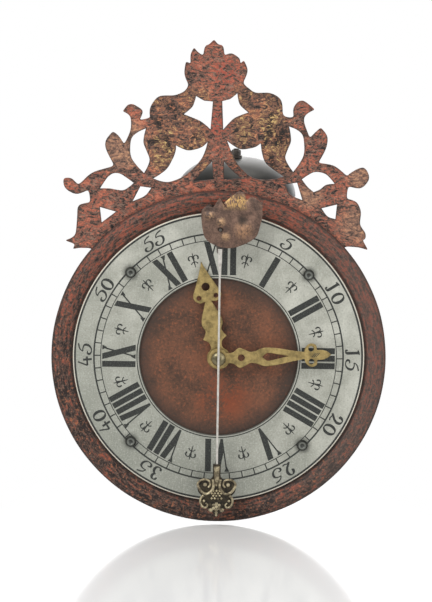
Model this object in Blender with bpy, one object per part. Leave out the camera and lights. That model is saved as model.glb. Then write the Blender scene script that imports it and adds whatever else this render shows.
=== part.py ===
"""Iron wall clock with a pierced crest, a front pendulum and an open verge movement.

Sizes are millimetres until put() turns them into metres. Inside the clock x runs right, y up from
the dial's centre and z forward from the wall.
"""
import math

import bmesh
import bpy
from mathutils import Matrix, Vector

for old in list(bpy.data.objects):
    bpy.data.objects.remove(old, do_unlink=True)

# Driving sizes, millimetres and degrees
MM = 0.001
GAP = 0.3
RUNNING = 0.3

PLATE_RADIUS = 125.0
PLATE_SHEET = 2.0
RIM_WIDTH = 15.5
RIM_RISE = 3.6
RING_MARGIN = 0.5
RING_WIDTH = 50.0
RING_SHEET = 1.6
RING_SCREW_INSET = 17.5
RING_SCREW_HEAD = 4.2
SCREW_ANGLES = (43.5, 136.5, 225.0, 314.0)
SCREW_SHANK = 1.5
FOOT_RADIUS = 3.4
FOOT_BELOW_TOP = 28.0
CREST_SHEET = 1.7
CREST_SEAM = 5.0
CREST_RIVETS = 5
CREST_SPREAD = 43.0
RIVET = 1.4

WALL_GAP = 18.0
POST = 8.0
POST_INSET = 1.0
BACK_BAR_INSET = 4.0
FRONT_BAR_INSET = 1.0
BAR = 3.0
BAR_WIDTH = 24.0
BAR_TENON = 9.0
STRIKE_BAY = 31.0
GOING_BAY = 31.0
DIAL_GAP = 12.0
FRAME_WIDTH = 92.0
FRAME_PLATE = 3.0
POST_TENON = 4.5
BELOW_WHEEL = 15.0
ABOVE_VERGE = 9.0
POTENCE = 3.0
POTENCE_NOSE = 4.5
POTENCE_TENON = 5.0

VERGE_DROP = 10.5
VERGE_STAFF = 1.6
VERGE_HOLE = 4.5
PALLET_REACH = 6.0
PALLET_WIDTH = 3.0
PALLET_ANGLE = 45.0
SWING = 22.0
PIVOT = 1.2

GOING_TEETH = 66
GOING_MODULE = 1.0
GOING_PINION = 6
GOING_WHEEL = 2.5
WHEEL_SPACE = 0.3
CONTRATE_TEETH = 60
CONTRATE_MODULE = 0.9
ESCAPE_PINION = 6
ESCAPE_TEETH = 37
ESCAPE_RADIUS = 13.6
ESCAPE_JOURNAL = 1.3
CROWN_BAND = 1.3
CROWN_TEETH = 5.0
WEB = 1.6
WHEEL_HUB = 8.0

STRIKE_TEETH = 52
STRIKE_MODULE = 1.05
STRIKE_WHEEL = 3.0
HAMMER_PINS = 13
HAMMER_PIN = 1.2
HAMMER_PIN_LENGTH = 4.0
HOOP_PINION = 8
HOOP_TEETH = 36
HOOP_MODULE = 1.05
LOCK_HOOP = 14.0
LOCK_SPACE = 2.6
LOCK_DEPTH = 4.0
FLY_PINION = 6
FLY_REACH = 15.0
FLY_SHEET = 0.9
REPORT_PINION = 6
COUNT_TEETH = 36
COUNT_MODULE = 1.2
COUNT_RIM = 30.0
COUNT_NOTCH = 3.5
COUNT_GEAR = 2.0
COUNT_SPACE = 0.8
COUNT_SHEET = 2.2

CANNON_TEETH = 8
MINUTE_TEETH = 24
MOTION_MODULE = 1.8
MOTION_PINION = 6
HOUR_TEETH = 24
MOTION_WHEEL = 2.5
MOTION_SPACE = 2.0
LIFT_PIN_CIRCLE = 14.0
LIFT_PIN = 1.2

PULLEY_RADIUS = 17.0
PULLEY_WIDTH = 8.0
SPIKES = 8

ARBOR = 1.9
GREAT_ARBOR = 2.2
STUD = 2.0
MINUTE_PIPE = 3.2
HOUR_PIPE = 5.0
PIPE_WALL = 1.0

HAND_SHEET = 1.5
HAND_HUB = 8.6
HAND_SPACE = 2.0
HAND_CLEAR = 3.1
HAND_NUT = 5.4
NUT_HEIGHT = 3.6
MINUTE_HAND_ANGLE = 87.0
HOUR_HAND_ANGLE = -11.0

ROD = 0.75
ROD_FLAT = 3.0
ROD_FLAT_LENGTH = 16.0
ARM_LENGTH = 20.0
ARM_WIDTH = 5.0
ARM_THICK = 2.4
ARM_CLEAR = 1.9
BOB_DROP = 199.0
BOB_NECK = 3.0
BOB_STEM = 22.0
BOB_RISE = 2.4
BOB_EDGE = 1.2

ESCUTCHEON_SHEET = 1.2
ESCUTCHEON_RISE = 4.0
ESCUTCHEON_CLEAR = 1.0
ESCUTCHEON_POST = 2.2
ESCUTCHEON_ON_RIM = 4.0
ESCUTCHEON_ANGLES = (94.3, 77.9)

BELL_RADIUS = 45.0
BELL_HEIGHT = 28.5
BELL_WALL = 2.0
BELL_OFFSET = 11.0
BELL_LIFT = 4.0
BELL_CLEAR = 3.0
BELL_POST = 3.0
BELL_THREAD = 2.0

LEVER_HEIGHT = 60.0
LEVER_ARM = 2.4
HAMMER_GAP = 4.5
HAMMER_HEAD = 4.0
HAMMER_HEAD_LENGTH = 9.0
HAMMER_SHAFT = 4.5
HAMMER_SWING = 12.0

HOOP_SPACE = 1.0
HOOP_BAR = 5.0
HOOP_SEAT = 16.0
HOOP_THICK = 4.0
SPUR_WIDTH = 6.0
SPUR_THICK = 3.0
SPUR_SEAT = 14.0
SPUR_SPACE = 4.0

# Finishes: colour, roughness, metallic
DARK_IRON = ((0.075, 0.07, 0.065), 0.6, 0.8)
BRIGHT_IRON = ((0.32, 0.31, 0.29), 0.4, 0.95)
PAINTED_IRON = ((0.22, 0.075, 0.05), 0.65, 0.3)
PEWTER = ((0.44, 0.46, 0.41), 0.45, 0.7)
BRASS = ((0.48, 0.38, 0.16), 0.38, 0.95)
COPPER = ((0.30, 0.17, 0.10), 0.45, 0.9)
BELL_METAL = ((0.10, 0.105, 0.10), 0.42, 0.9)
PALE_STEEL = ((0.62, 0.60, 0.57), 0.3, 0.95)

# Dial, from the plate's edge inwards
RIM_START = PLATE_RADIUS - RIM_WIDTH
RING_OUTER = RIM_START - RING_MARGIN
RING_INNER = RING_OUTER - RING_WIDTH
RING_SCREW_CIRCLE = RING_OUTER - RING_SCREW_INSET
VERGE_HEIGHT = RIM_START - VERGE_DROP

# Depths from the wall
FRAME_BACK = WALL_GAP
BACK_BAR = FRAME_BACK + BACK_BAR_INSET
BACK_BAR_FRONT = BACK_BAR + BAR
MIDDLE_BAR = BACK_BAR_FRONT + STRIKE_BAY
MIDDLE_BAR_FRONT = MIDDLE_BAR + BAR
FRONT_BAR = MIDDLE_BAR_FRONT + GOING_BAY
FRONT_BAR_FRONT = FRONT_BAR + BAR
FRAME_FRONT = FRONT_BAR_FRONT + FRONT_BAR_INSET
DIAL_BACK = FRAME_FRONT + DIAL_GAP
DIAL_FRONT = DIAL_BACK + PLATE_SHEET
RING_FRONT = DIAL_FRONT + GAP + RING_SHEET
HOUR_HAND_BACK = RING_FRONT + HAND_CLEAR
MINUTE_HAND_BACK = HOUR_HAND_BACK + HAND_SHEET + HAND_SPACE
NUT_FRONT = MINUTE_HAND_BACK + HAND_SHEET + GAP + NUT_HEIGHT
ARM_BACK = NUT_FRONT + ARM_CLEAR
ARM_FRONT = ARM_BACK + ARM_THICK
ROD_PLANE = ARM_FRONT + GAP + ROD
ESCUTCHEON_BACK = ROD_PLANE + ROD + ESCUTCHEON_CLEAR

# Wheel radii, heights and depths of the going train
GOING_RADIUS = GOING_TEETH * GOING_MODULE / 2
CONTRATE_HEIGHT = GOING_RADIUS + GOING_PINION * GOING_MODULE / 2
CONTRATE_RADIUS = CONTRATE_TEETH * CONTRATE_MODULE / 2
ESCAPE_PINION_RADIUS = ESCAPE_PINION * CONTRATE_MODULE / 2
GOING_WHEEL_FRONT = FRAME_FRONT - POST - WHEEL_SPACE
GOING_WHEEL_BACK = GOING_WHEEL_FRONT - GOING_WHEEL
ESCAPE_DEPTH = MIDDLE_BAR_FRONT + GOING_BAY / 2
CONTRATE_TIPS = ESCAPE_DEPTH - ESCAPE_PINION_RADIUS + 0.8 * CONTRATE_MODULE
CONTRATE_ROOTS = CONTRATE_TIPS - 2.0 * CONTRATE_MODULE
CONTRATE_BACK = MIDDLE_BAR_FRONT + 5.0
GOING_PULLEY_BACK = CONTRATE_TIPS + 1.0
PALLET_DIP = math.hypot(PALLET_REACH, 0.6)
CROWN_TIPS = VERGE_HEIGHT - PALLET_DIP * math.cos(math.radians(PALLET_ANGLE - SWING - 6.0)) - 0.4
CROWN_ROOTS = CROWN_TIPS - CROWN_TEETH
CROWN_BASE = CROWN_ROOTS - 1.6
UPPER_POTENCE = CROWN_BASE - 1.5
LOWER_POTENCE = CONTRATE_HEIGHT + CONTRATE_RADIUS * 0.6
FRAME_TOP = VERGE_HEIGHT + ABOVE_VERGE
FRAME_BOTTOM = -(GOING_RADIUS + GOING_MODULE + BELOW_WHEEL)

# Wheel radii and heights of the strike train
STRIKE_RADIUS = STRIKE_TEETH * STRIKE_MODULE / 2
HOOP_HEIGHT = STRIKE_RADIUS + HOOP_PINION * STRIKE_MODULE / 2
HOOP_RADIUS = HOOP_TEETH * HOOP_MODULE / 2
FLY_HEIGHT = HOOP_HEIGHT + HOOP_RADIUS + FLY_PINION * HOOP_MODULE / 2
COUNT_RADIUS = COUNT_TEETH * COUNT_MODULE / 2
COUNT_HEIGHT = COUNT_RADIUS + REPORT_PINION * COUNT_MODULE / 2
STRIKE_WHEEL_BACK = BACK_BAR_FRONT + 3.0
STRIKE_WHEEL_FRONT = STRIKE_WHEEL_BACK + STRIKE_WHEEL
HAMMER_PIN_CIRCLE = STRIKE_RADIUS - 4.8
STRIKE_PULLEY_BACK = STRIKE_WHEEL_FRONT + 2.4
TAIL_BACK = STRIKE_WHEEL_FRONT + 0.5
LOCK_HOOP_BACK = STRIKE_PULLEY_BACK + PULLEY_WIDTH + LOCK_SPACE
HOOP_WHEEL_BACK = LOCK_HOOP_BACK + LOCK_DEPTH
COUNT_FRONT = BACK_BAR - 1.5
COUNT_BACK = COUNT_FRONT - COUNT_GEAR - COUNT_SPACE - COUNT_SHEET

# Motion work
MOTION_CENTRES = (CANNON_TEETH + MINUTE_TEETH) * MOTION_MODULE / 2
HOUR_MODULE = 2 * MOTION_CENTRES / (MOTION_PINION + HOUR_TEETH)
CANNON_BACK = FRONT_BAR_FRONT + 2.0
CANNON_FRONT = CANNON_BACK + MOTION_WHEEL
HOUR_WHEEL_BACK = CANNON_FRONT + MOTION_SPACE
HOUR_WHEEL_FRONT = HOUR_WHEEL_BACK + MOTION_WHEEL

# Frame, hanging parts and bell
POST_X = FRAME_WIDTH / 2 - POST_INSET - POST / 2
HOOP_WIDTH = BAR_WIDTH + 2 * (HOOP_SPACE + HOOP_BAR)
HOOP_DEPTH = WALL_GAP + HOOP_SEAT
SPUR_LENGTH = WALL_GAP + SPUR_SEAT
SPUR_OFFSET = POST_X - POST / 2 - SPUR_SPACE - SPUR_WIDTH / 2
CREST_BACK = DIAL_BACK - GAP - CREST_SHEET
BELL_DEPTH = CREST_BACK - BELL_CLEAR - BELL_RADIUS
BELL_LIP = FRAME_TOP + FRAME_PLATE + BELL_LIFT
HAMMER_HEIGHT = BELL_LIP + HAMMER_HEAD - LEVER_HEIGHT
HAMMER_LEAN = BELL_OFFSET + BELL_RADIUS - BELL_WALL - HAMMER_GAP - HAMMER_HEAD_LENGTH / 2 - POST_X

# Tooth forms as shares of the module; leaf roots as a share of the pitch
TOOTH_HEIGHT = 0.95
TOOTH_DEPTH = 1.5
LEAF_HEIGHT = 0.75
LEAF_DEPTH = 1.25
LEAF_ROOT = 0.22

CORNER = 1
UP = math.pi / 2

clock = bpy.data.objects.new("clock", None)
bpy.context.scene.collection.objects.link(clock)
clock.location = (0.0, 0.0, -(FRAME_TOP - GAP - HOOP_THICK / 2) * MM)
clock.rotation_euler = (UP, 0.0, 0.0)
bpy.context.view_layer.update()


# Outlines
def polar(radius, angle, centre=(0.0, 0.0)):
    return (centre[0] + radius * math.cos(angle), centre[1] + radius * math.sin(angle))


def circle(radius, count=8, centre=(0.0, 0.0)):
    return [polar(radius, 2 * math.pi * (i + 0.5) / count, centre) for i in range(count)]


def box(half_x, half_y, centre=(0.0, 0.0)):
    x, y = centre
    return [(x - half_x, y - half_y), (x + half_x, y - half_y),
            (x + half_x, y + half_y), (x - half_x, y + half_y)]


def smooth(points, steps=2, short=5.5):
    """Closed curve through the points; a point marked CORNER stays sharp and a short span straight."""
    spots = [Vector(p[:2]) for p in points]
    sharp = [len(p) > 2 for p in points]
    count = len(points)
    loop = []
    for i in range(count):
        j = (i + 1) % count
        chord = spots[j] - spots[i]
        start = chord if sharp[i] else (spots[j] - spots[i - 1]) / 2
        end = chord if sharp[j] else (spots[(j + 1) % count] - spots[i]) / 2
        parts = 1 if sharp[i] and sharp[j] or chord.length < short else steps
        for k in range(parts):
            t = k / parts
            loop.append(tuple(
                spots[i] * (1 + 2 * t) * (1 - t) ** 2 + start * t * (1 - t) ** 2
                + spots[j] * t * t * (3 - 2 * t) + end * t * t * (t - 1)))
    return loop


def mirrored(side, tip=None):
    """Closed outline from its right side, listed from the foot upwards."""
    left = [(-p[0],) + tuple(p[1:]) for p in reversed(side)]
    return list(side) + ([tip] if tip else []) + left


def teeth(count, module, phase=0.0):
    """Wheel outline with pointed teeth."""
    pitch = count * module / 2
    step = 2 * math.pi / count
    loop = []
    for i in range(count):
        at = phase + i * step
        loop.append(polar(pitch + TOOTH_HEIGHT * module, at))
        loop.append(polar(pitch - TOOTH_DEPTH * module, at + step / 2))
    return loop


def leaves(count, module, phase=0.0):
    """Pinion outline with narrow leaves."""
    pitch = count * module / 2
    step = 2 * math.pi / count
    loop = []
    for i in range(count):
        at = phase + i * step
        loop.append(polar(pitch - LEAF_DEPTH * module, at - LEAF_ROOT * step))
        loop.append(polar(pitch + LEAF_HEIGHT * module, at))
        loop.append(polar(pitch - LEAF_DEPTH * module, at + LEAF_ROOT * step))
    return loop


def meshed(phase, count, other, direction):
    """Phase of the other wheel whose gap faces a tooth of the first along the line of centres."""
    share = (direction - phase) * count / (2 * math.pi)
    return direction + math.pi - (0.5 - share) * 2 * math.pi / other


def crossings(inner, outer, arms=4, arm=3.2, start=math.pi / 4):
    """Windows between the arms of a wheel."""
    windows = []
    for i in range(arms):
        middle = start + i * 2 * math.pi / arms
        far = math.pi / arms - arm / (2 * outer)
        near = math.pi / arms - arm / (2 * inner)
        rim = [polar(outer, middle + far * (k / 2 - 1)) for k in range(5)]
        windows.append(rim + [polar(inner, middle + near), polar(inner, middle - near)])
    return windows


def arm_outline(start, end, start_width, end_width, count=3):
    """Tapered bar with round ends between two points."""
    run = math.atan2(end[1] - start[1], end[0] - start[0])
    loop = [polar(start_width / 2, run + UP + math.pi * k / count, start) for k in range(count + 1)]
    loop += [polar(end_width / 2, run - UP + math.pi * k / count, end) for k in range(count + 1)]
    return loop


# Solids
def prism(loops, low, high):
    """Sheet between two levels; the first loop is the outline and the rest are holes."""
    bm = bmesh.new()
    for loop in loops:
        verts = [bm.verts.new((x, y, low)) for x, y in loop]
        for i, vert in enumerate(verts):
            bm.edges.new((vert, verts[(i + 1) % len(verts)]))
    bmesh.ops.triangle_fill(bm, use_beauty=True, use_dissolve=False, edges=bm.edges[:])
    lifted = bmesh.ops.extrude_face_region(bm, geom=bm.faces[:])
    raised = [g for g in lifted["geom"] if isinstance(g, bmesh.types.BMVert)]
    bmesh.ops.translate(bm, verts=raised, vec=(0.0, 0.0, high - low))
    return bm


def turned(profile, steps=12, closed=False, start=0.0):
    """Solid of revolution about z from (radius, height) points."""
    bm = bmesh.new()
    spin = Matrix.Rotation(start, 3, "Z")
    verts = [bm.verts.new(spin @ Vector((r, 0.0, z))) for r, z in profile]
    edges = [bm.edges.new(pair) for pair in zip(verts, verts[1:])]
    if closed:
        edges.append(bm.edges.new((verts[-1], verts[0])))
    bmesh.ops.spin(bm, geom=verts + edges, cent=(0, 0, 0), axis=(0, 0, 1), dvec=(0, 0, 0),
                   angle=2 * math.pi, steps=steps, use_merge=True)
    bmesh.ops.remove_doubles(bm, verts=bm.verts[:], dist=0.0005)
    return bm


def rod(stages, steps=8):
    """Stepped arbor: (radius, start) stages, the last entry closing the end."""
    profile = [(0.0, stages[0][1])]
    for (radius, low), (_, high) in zip(stages, stages[1:]):
        profile += [(radius, low), (radius, high)]
    return turned(profile + [(0.0, stages[-1][1])], steps)


def tube(inner, outer, low, high, steps=12):
    return turned([(inner, low), (outer, low), (outer, high), (inner, high)], steps, closed=True)


def crown(count, inner, outer, base, web, root, tip, share, windows):
    """Crown wheel: a band with teeth along the axis round a web with windows."""
    bm = bmesh.new()
    columns = []
    for i in range(count):
        for at, top in ((0.0, root), (share, tip)):
            angle = (i + at) * 2 * math.pi / count
            section = ((outer, base), (outer, top), (inner, top), (inner, base + web))
            columns.append([bm.verts.new((*polar(r, angle), z)) for r, z in section])
    for here, there in zip(columns, columns[1:] + columns[:1]):
        for k in range(3):
            bm.faces.new((here[k], there[k], there[k + 1], here[k + 1]))
    for low, column in ((base, 0), (base + web, 3)):
        rim = [c[column] for c in columns]
        loops = [rim] + [[bm.verts.new((x, y, low)) for x, y in window] for window in windows]
        edges = []
        for loop in loops:
            for pair in zip(loop, loop[1:] + loop[:1]):
                edges.append(bm.edges.get(pair) or bm.edges.new(pair))
        bmesh.ops.triangle_fill(bm, use_beauty=True, use_dissolve=False, edges=edges)
        if column == 0:
            below = loops[1:]
        else:
            for lower, upper in zip(below, loops[1:]):
                for k in range(len(lower)):
                    j = (k + 1) % len(lower)
                    bm.faces.new((lower[k], lower[j], upper[j], upper[k]))
    return bm


def dished(outline, front, back, levels=4):
    """Sheet or casting whose front and back heights follow the distance in from its edge."""
    bm = bmesh.new()
    rings = {}
    for side, height in (("front", front), ("back", back)):
        rings[side] = []
        for level in range(levels):
            share = 1 - level / levels
            ring = [bm.verts.new((x * share, y * share, height(share))) for x, y in outline]
            rings[side].append(ring)
        centre = bm.verts.new((0.0, 0.0, height(0.0)))
        for outer, inner in zip(rings[side], rings[side][1:]):
            for i in range(len(outer)):
                j = (i + 1) % len(outer)
                bm.faces.new((outer[i], outer[j], inner[j], inner[i]))
        last = rings[side][-1]
        for i in range(len(last)):
            bm.faces.new((last[i], last[(i + 1) % len(last)], centre))
    rim, lower = rings["front"][0], rings["back"][0]
    for i in range(len(rim)):
        j = (i + 1) % len(rim)
        bm.faces.new((rim[i], rim[j], lower[j], lower[i]))
    return bm


def moved(bm, by=(0, 0, 0), about_z=0.0, about_y=0.0):
    turn = Matrix.Rotation(about_z, 4, "Z") @ Matrix.Rotation(about_y, 4, "Y")
    bmesh.ops.transform(bm, matrix=Matrix.Translation(by) @ turn, verts=bm.verts[:])
    return bm


def together(*parts):
    """Several separate bodies in one mesh."""
    bm = bmesh.new()
    for part in parts:
        scratch = bpy.data.meshes.new("scratch")
        part.to_mesh(scratch)
        bm.from_mesh(scratch)
        part.free()
        bpy.data.meshes.remove(scratch)
    return bm


FACINGS = {"front": 0.0, "flat": UP, "up": -UP}


def put(name, bm, finish, at=(0.0, 0.0, 0.0), facing="front"):
    """Object with its own material. facing: front keeps z forward, flat sends z down, up sends z up."""
    bmesh.ops.recalc_face_normals(bm, faces=bm.faces[:])
    bmesh.ops.scale(bm, vec=(MM, MM, MM), verts=bm.verts[:])
    mesh = bpy.data.meshes.new(name)
    bm.to_mesh(mesh)
    bm.free()
    mesh.shade_smooth()
    mesh.set_sharp_from_angle(angle=math.radians(38))
    part = bpy.data.objects.new(name, mesh)
    bpy.context.scene.collection.objects.link(part)
    part.parent = clock
    part.location = Vector(at) * MM
    part.rotation_euler = (FACINGS[facing], 0.0, 0.0)
    colour, roughness, metallic = finish
    material = bpy.data.materials.new(name)
    material.use_nodes = True
    shader = material.node_tree.nodes["Principled BSDF"]
    shader.inputs["Base Color"].default_value = (*colour, 1.0)
    shader.inputs["Roughness"].default_value = roughness
    shader.inputs["Metallic"].default_value = metallic
    mesh.materials.append(material)
    return part


def combine(part, bm, operation):
    """Join a solid to a piece, or cut it away, in the piece's own frame."""
    tool = put("tool", bm, DARK_IRON)
    tool.location = part.location
    tool.rotation_euler = part.rotation_euler
    tool.data.materials.clear()
    boolean = part.modifiers.new("combine", "BOOLEAN")
    boolean.operation = operation
    boolean.object = tool
    bpy.context.view_layer.update()
    graph = bpy.context.evaluated_depsgraph_get()
    result = bpy.data.meshes.new_from_object(part.evaluated_get(graph))
    part.modifiers.clear()
    spare = part.data
    part.data = result
    result.name = part.name
    bpy.data.meshes.remove(spare)
    bpy.data.objects.remove(tool)
    merge_flats(result)
    return part


def merge_flats(mesh):
    """Merge the flat facets that a join or a cut has split."""
    bm = bmesh.new()
    bm.from_mesh(mesh)
    bmesh.ops.dissolve_limit(bm, angle_limit=math.radians(0.4), verts=bm.verts[:], edges=bm.edges[:],
                             use_dissolve_boundaries=False, delimit=set())
    bm.to_mesh(mesh)
    bm.free()


def join(part, *solids):
    for solid in solids:
        combine(part, solid, "UNION")
    return part


def drill(part, *cutters):
    return combine(part, together(*cutters), "DIFFERENCE")


def pin(radius, low, high, centre=(0.0, 0.0), steps=8):
    return prism([circle(radius, steps, centre)], low, high)


# Dial plate, chapter ring and their fixings
RIM_SHAPE = ((0.0, 0.0), (0.3, 0.7), (0.58, 1.0), (0.84, 0.65), (1.0, 0.0))
SCREW_SPOTS = [polar(RING_SCREW_CIRCLE, math.radians(a)) for a in SCREW_ANGLES]
FOOT_SPOTS = [(side * POST_X, height)
              for side in (-1, 1) for height in (FRAME_TOP - FOOT_BELOW_TOP, FRAME_BOTTOM + POST / 2)]
ESCUTCHEON_SPOTS = [polar(RIM_START + ESCUTCHEON_ON_RIM, math.radians(a)) for a in ESCUTCHEON_ANGLES]
CREST_BAND = RIM_START - CREST_SEAM
RIVET_SPOTS = [polar(CREST_BAND + 2.6, UP + math.radians(CREST_SPREAD) * (2 * i / (CREST_RIVETS - 1) - 1))
               for i in range(CREST_RIVETS)]


def rim_line(base):
    return [(RIM_START + RIM_WIDTH * along, base + RIM_RISE * rise) for along, rise in RIM_SHAPE]


def build_dial():
    bore = HOUR_PIPE + 0.6
    profile = [(bore, DIAL_FRONT)] + rim_line(DIAL_FRONT)
    profile += list(reversed(rim_line(DIAL_BACK))) + [(bore, DIAL_BACK)]
    plate = put("dial_plate", turned(profile, 44, closed=True), PAINTED_IRON)
    low, high = DIAL_BACK - 2, DIAL_FRONT + RIM_RISE + 2
    holes = [pin(VERGE_HOLE, low, high, (0.0, VERGE_HEIGHT), 12)]
    holes += [pin(SCREW_SHANK + GAP, low, high, spot) for spot in SCREW_SPOTS]
    holes += [pin(ESCUTCHEON_POST - 0.6 + GAP, low, high, spot) for spot in ESCUTCHEON_SPOTS]
    drill(plate, *holes)
    for spot in FOOT_SPOTS:
        stages = [(FOOT_RADIUS, FRAME_FRONT + GAP), (0.0, DIAL_BACK + 0.5)]
        join(plate, moved(rod(stages), (*spot, 0.0)))

    loops = [circle(RING_OUTER, 48), circle(RING_INNER, 32)]
    loops += [circle(SCREW_SHANK + GAP, 8, spot) for spot in SCREW_SPOTS]
    loops.append(circle(VERGE_HOLE, 12, (0.0, VERGE_HEIGHT)))
    put("chapter_ring", prism(loops, DIAL_FRONT + GAP, RING_FRONT), PEWTER)

    head = RING_FRONT + GAP
    for number, spot in enumerate(SCREW_SPOTS, 1):
        profile = [(0.0, DIAL_BACK - 1.0), (SCREW_SHANK, DIAL_BACK - 1.0), (SCREW_SHANK, head),
                   (RING_SCREW_HEAD, head), (RING_SCREW_HEAD * 0.93, head + 1.0),
                   (RING_SCREW_HEAD * 0.6, head + 2.2), (0.0, head + 2.8)]
        put(f"ring_screw_{number}", turned(profile, 8), DARK_IRON, (*spot, 0.0))


# Crest: sprays of leaves, read from the left foot over the flower to the right foot, with heights
# measured from the plate's top edge
LEFT_TAIL = [(-96.5, -45, CORNER), (-105.5, -45), (-110, -46, CORNER), (-108, -42, CORNER),
             (-116, -39.5, CORNER),
             (-108.5, -35.5), (-107, -24), (-104.5, -13.5), (-97, -10.5, CORNER), (-98.5, -1, CORNER)]
LEFT_CURL = [(-107.5, -4.5), (-116, 0), (-117, 7), (-111, 7), (-106.5, 3), (-102.5, 6)]
LEFT_LEAF = [(-95.5, 12), (-79.5, 17, CORNER), (-86, 29.5), (-86, 36.5), (-81, 43, CORNER),
             (-77, 40), (-72.5, 33.5, CORNER)]
LEFT_HOOK = [(-68, 44), (-68.5, 54.5), (-74, 58, CORNER), (-70, 63), (-66.5, 63.5), (-60.5, 58.5),
             (-61.5, 51.5, CORNER), (-53.5, 53.5, CORNER)]
LEFT_LOBE = [(-54, 60), (-47.5, 69.5), (-36, 70.5), (-28, 74), (-25.5, 78.5, CORNER)]
FLOWER = [(-28.5, 87), (-27.5, 96, CORNER), (-24, 94.5, CORNER), (-24, 101.5), (-21.5, 106.5, CORNER),
          (-18.5, 103), (-14.5, 100.5, CORNER), (-13, 108, CORNER), (-10.5, 109, CORNER), (-6.8, 113),
          (-3.5, 109, CORNER), (-0.5, 108.5, CORNER), (1, 101, CORNER), (6.5, 102.5), (12.5, 98.5),
          (13, 95, CORNER), (15.5, 97.5, CORNER), (18.5, 90), (15.5, 80.5, CORNER)]
RIGHT_LOBE = [(24, 73.5), (34.5, 73.5), (43.5, 68.5), (45.5, 56.5, CORNER), (53.5, 55, CORNER)]
RIGHT_HOOK = [(55, 65), (60, 68), (69, 61.5, CORNER), (63, 58), (61, 52.5), (65.5, 40, CORNER)]
RIGHT_LEAF = [(69, 44), (73.5, 48, CORNER), (78.5, 41.5), (77.5, 32), (72, 21.5, CORNER),
              (84, 19.5), (93.5, 12, CORNER)]
RIGHT_CURL = [(98, 15.5), (106, 18.5), (110.2, 10.5), (104, 3), (94.5, 4.5, CORNER),
              (93.5, -5, CORNER)]
RIGHT_TAIL = [(101, -7.5), (104.5, -15), (104, -24), (108, -30.5, CORNER), (108, -35, CORNER),
              (106, -36, CORNER), (110.5, -43.5, CORNER), (103, -41.5), (93.5, -41, CORNER)]

# Openings of the crest, left and right
EYES = ([(-90, 0, CORNER), (-83.5, 9.5), (-76, 11.5), (-65, 4.5, CORNER), (-72.5, -1), (-82.5, 0)],
        [(60, 9, CORNER), (69, 14.5), (78, 13), (84.5, 6, CORNER), (78, 5), (69, -0.5)])
TAIL_GAPS = ([(-90, -14, CORNER), (-77.5, -18, CORNER), (-84.5, -25.5, CORNER), (-88.5, -25.5, CORNER)],
             [(75, -12.5, CORNER), (86.5, -9.5, CORNER), (85.5, -20.5, CORNER), (79, -20.5, CORNER)])
ARCH_GAPS = ([(-60, 2, CORNER), (-52, 1, CORNER), (-54, -7.5, CORNER), (-65, -10.5, CORNER)],
             [(47.5, 5, CORNER), (56.5, 6.5, CORNER), (60.5, -7, CORNER), (51, -4.5, CORNER)])
CRESCENTS = ([(-56.5, 45.5, CORNER), (-66.5, 39), (-67, 23.5), (-57.5, 12, CORNER), (-53.5, 22),
              (-58.2, 35)],
             [(50, 48.5, CORNER), (59.5, 43), (61, 27), (53.5, 14.5, CORNER), (47.5, 25), (51.5, 37.5)])
WINDOWS = ([(-50.5, 8, CORNER), (-40.5, 15.5), (-34.5, 27.5), (-34, 33, CORNER), (-25, 29.5), (-15, 32),
            (-10.5, 36, CORNER), (-14.5, 24), (-26.5, 11), (-40, 5.5)],
           [(4, 37, CORNER), (14, 31), (25.5, 33), (29, 35.5, CORNER), (32.5, 21.5), (46.5, 11, CORNER),
            (37.5, 8.5), (24, 9.5), (12, 20)])
STARS = ([(-19.5, 70.5, CORNER), (-7, 66.5, CORNER), (-8.5, 45.5, CORNER), (-16, 51.5),
          (-28.5, 56.5, CORNER), (-22, 62.5)],
         [(11, 73, CORNER), (13, 64.5), (19.5, 58.5, CORNER), (9, 54), (1, 45.5, CORNER),
          (0, 67, CORNER)])
FORKS = ([(-7, 21.5, CORNER), (-15, 13), (-21, 6, CORNER), (-5.5, 6, CORNER)],
         [(2, 21.5, CORNER), (8.5, 14.5), (15.5, 9, CORNER), (2, 7, CORNER)])


def on_plate(points):
    return [(p[0], p[1] + PLATE_RADIUS) + tuple(p[2:]) for p in points]


def build_crest():
    outline = smooth(on_plate(LEFT_TAIL + LEFT_CURL + LEFT_LEAF + LEFT_HOOK + LEFT_LOBE + FLOWER
                              + RIGHT_LOBE + RIGHT_HOOK + RIGHT_LEAF + RIGHT_CURL + RIGHT_TAIL))
    first = math.radians(90 - CREST_SPREAD - 5)
    last = math.radians(90 + CREST_SPREAD + 5)
    outline += [polar(CREST_BAND, first + (last - first) * i / 16) for i in range(17)]
    loops = [outline]
    for pair in (EYES, TAIL_GAPS, ARCH_GAPS, CRESCENTS, WINDOWS, STARS, FORKS):
        loops += [smooth(on_plate(opening)) for opening in pair]
    back = CREST_BACK
    sheet = put("crest", prism(loops, back, back + CREST_SHEET), PAINTED_IRON)
    for spot in RIVET_SPOTS:
        profile = [(0.0, back - 1.3), (RIVET + 0.6, back - 0.9), (RIVET + 1.2, back + 0.5), (0.0, back + 0.5)]
        join(sheet, moved(turned(profile, 6), (*spot, 0.0)))
    drill(sheet, pin(VERGE_HOLE, back - 2, back + CREST_SHEET + 2, (0.0, VERGE_HEIGHT), 12))


# Escutcheon: chased sheet in front of the verge
ESCUTCHEON_CENTRE = (9.0, VERGE_HEIGHT + 8.0)
ESCUTCHEON_EDGE = [(-1.5, -22), (6, -20), (12.5, -17), (18, -12.5), (20.5, -4.5), (22, 3),
                   (21.5, 11.5, CORNER), (17, 15.5), (13, 16.5), (10, 14, CORNER), (8.5, 19), (4.5, 20.5),
                   (-1, 17), (-6.5, 12, CORNER), (-10, 16, CORNER), (-14.5, 8.5, CORNER), (-19.5, 9.5),
                   (-23, 6), (-23, -2.5), (-20, -15), (-11, -20.5)]


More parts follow.
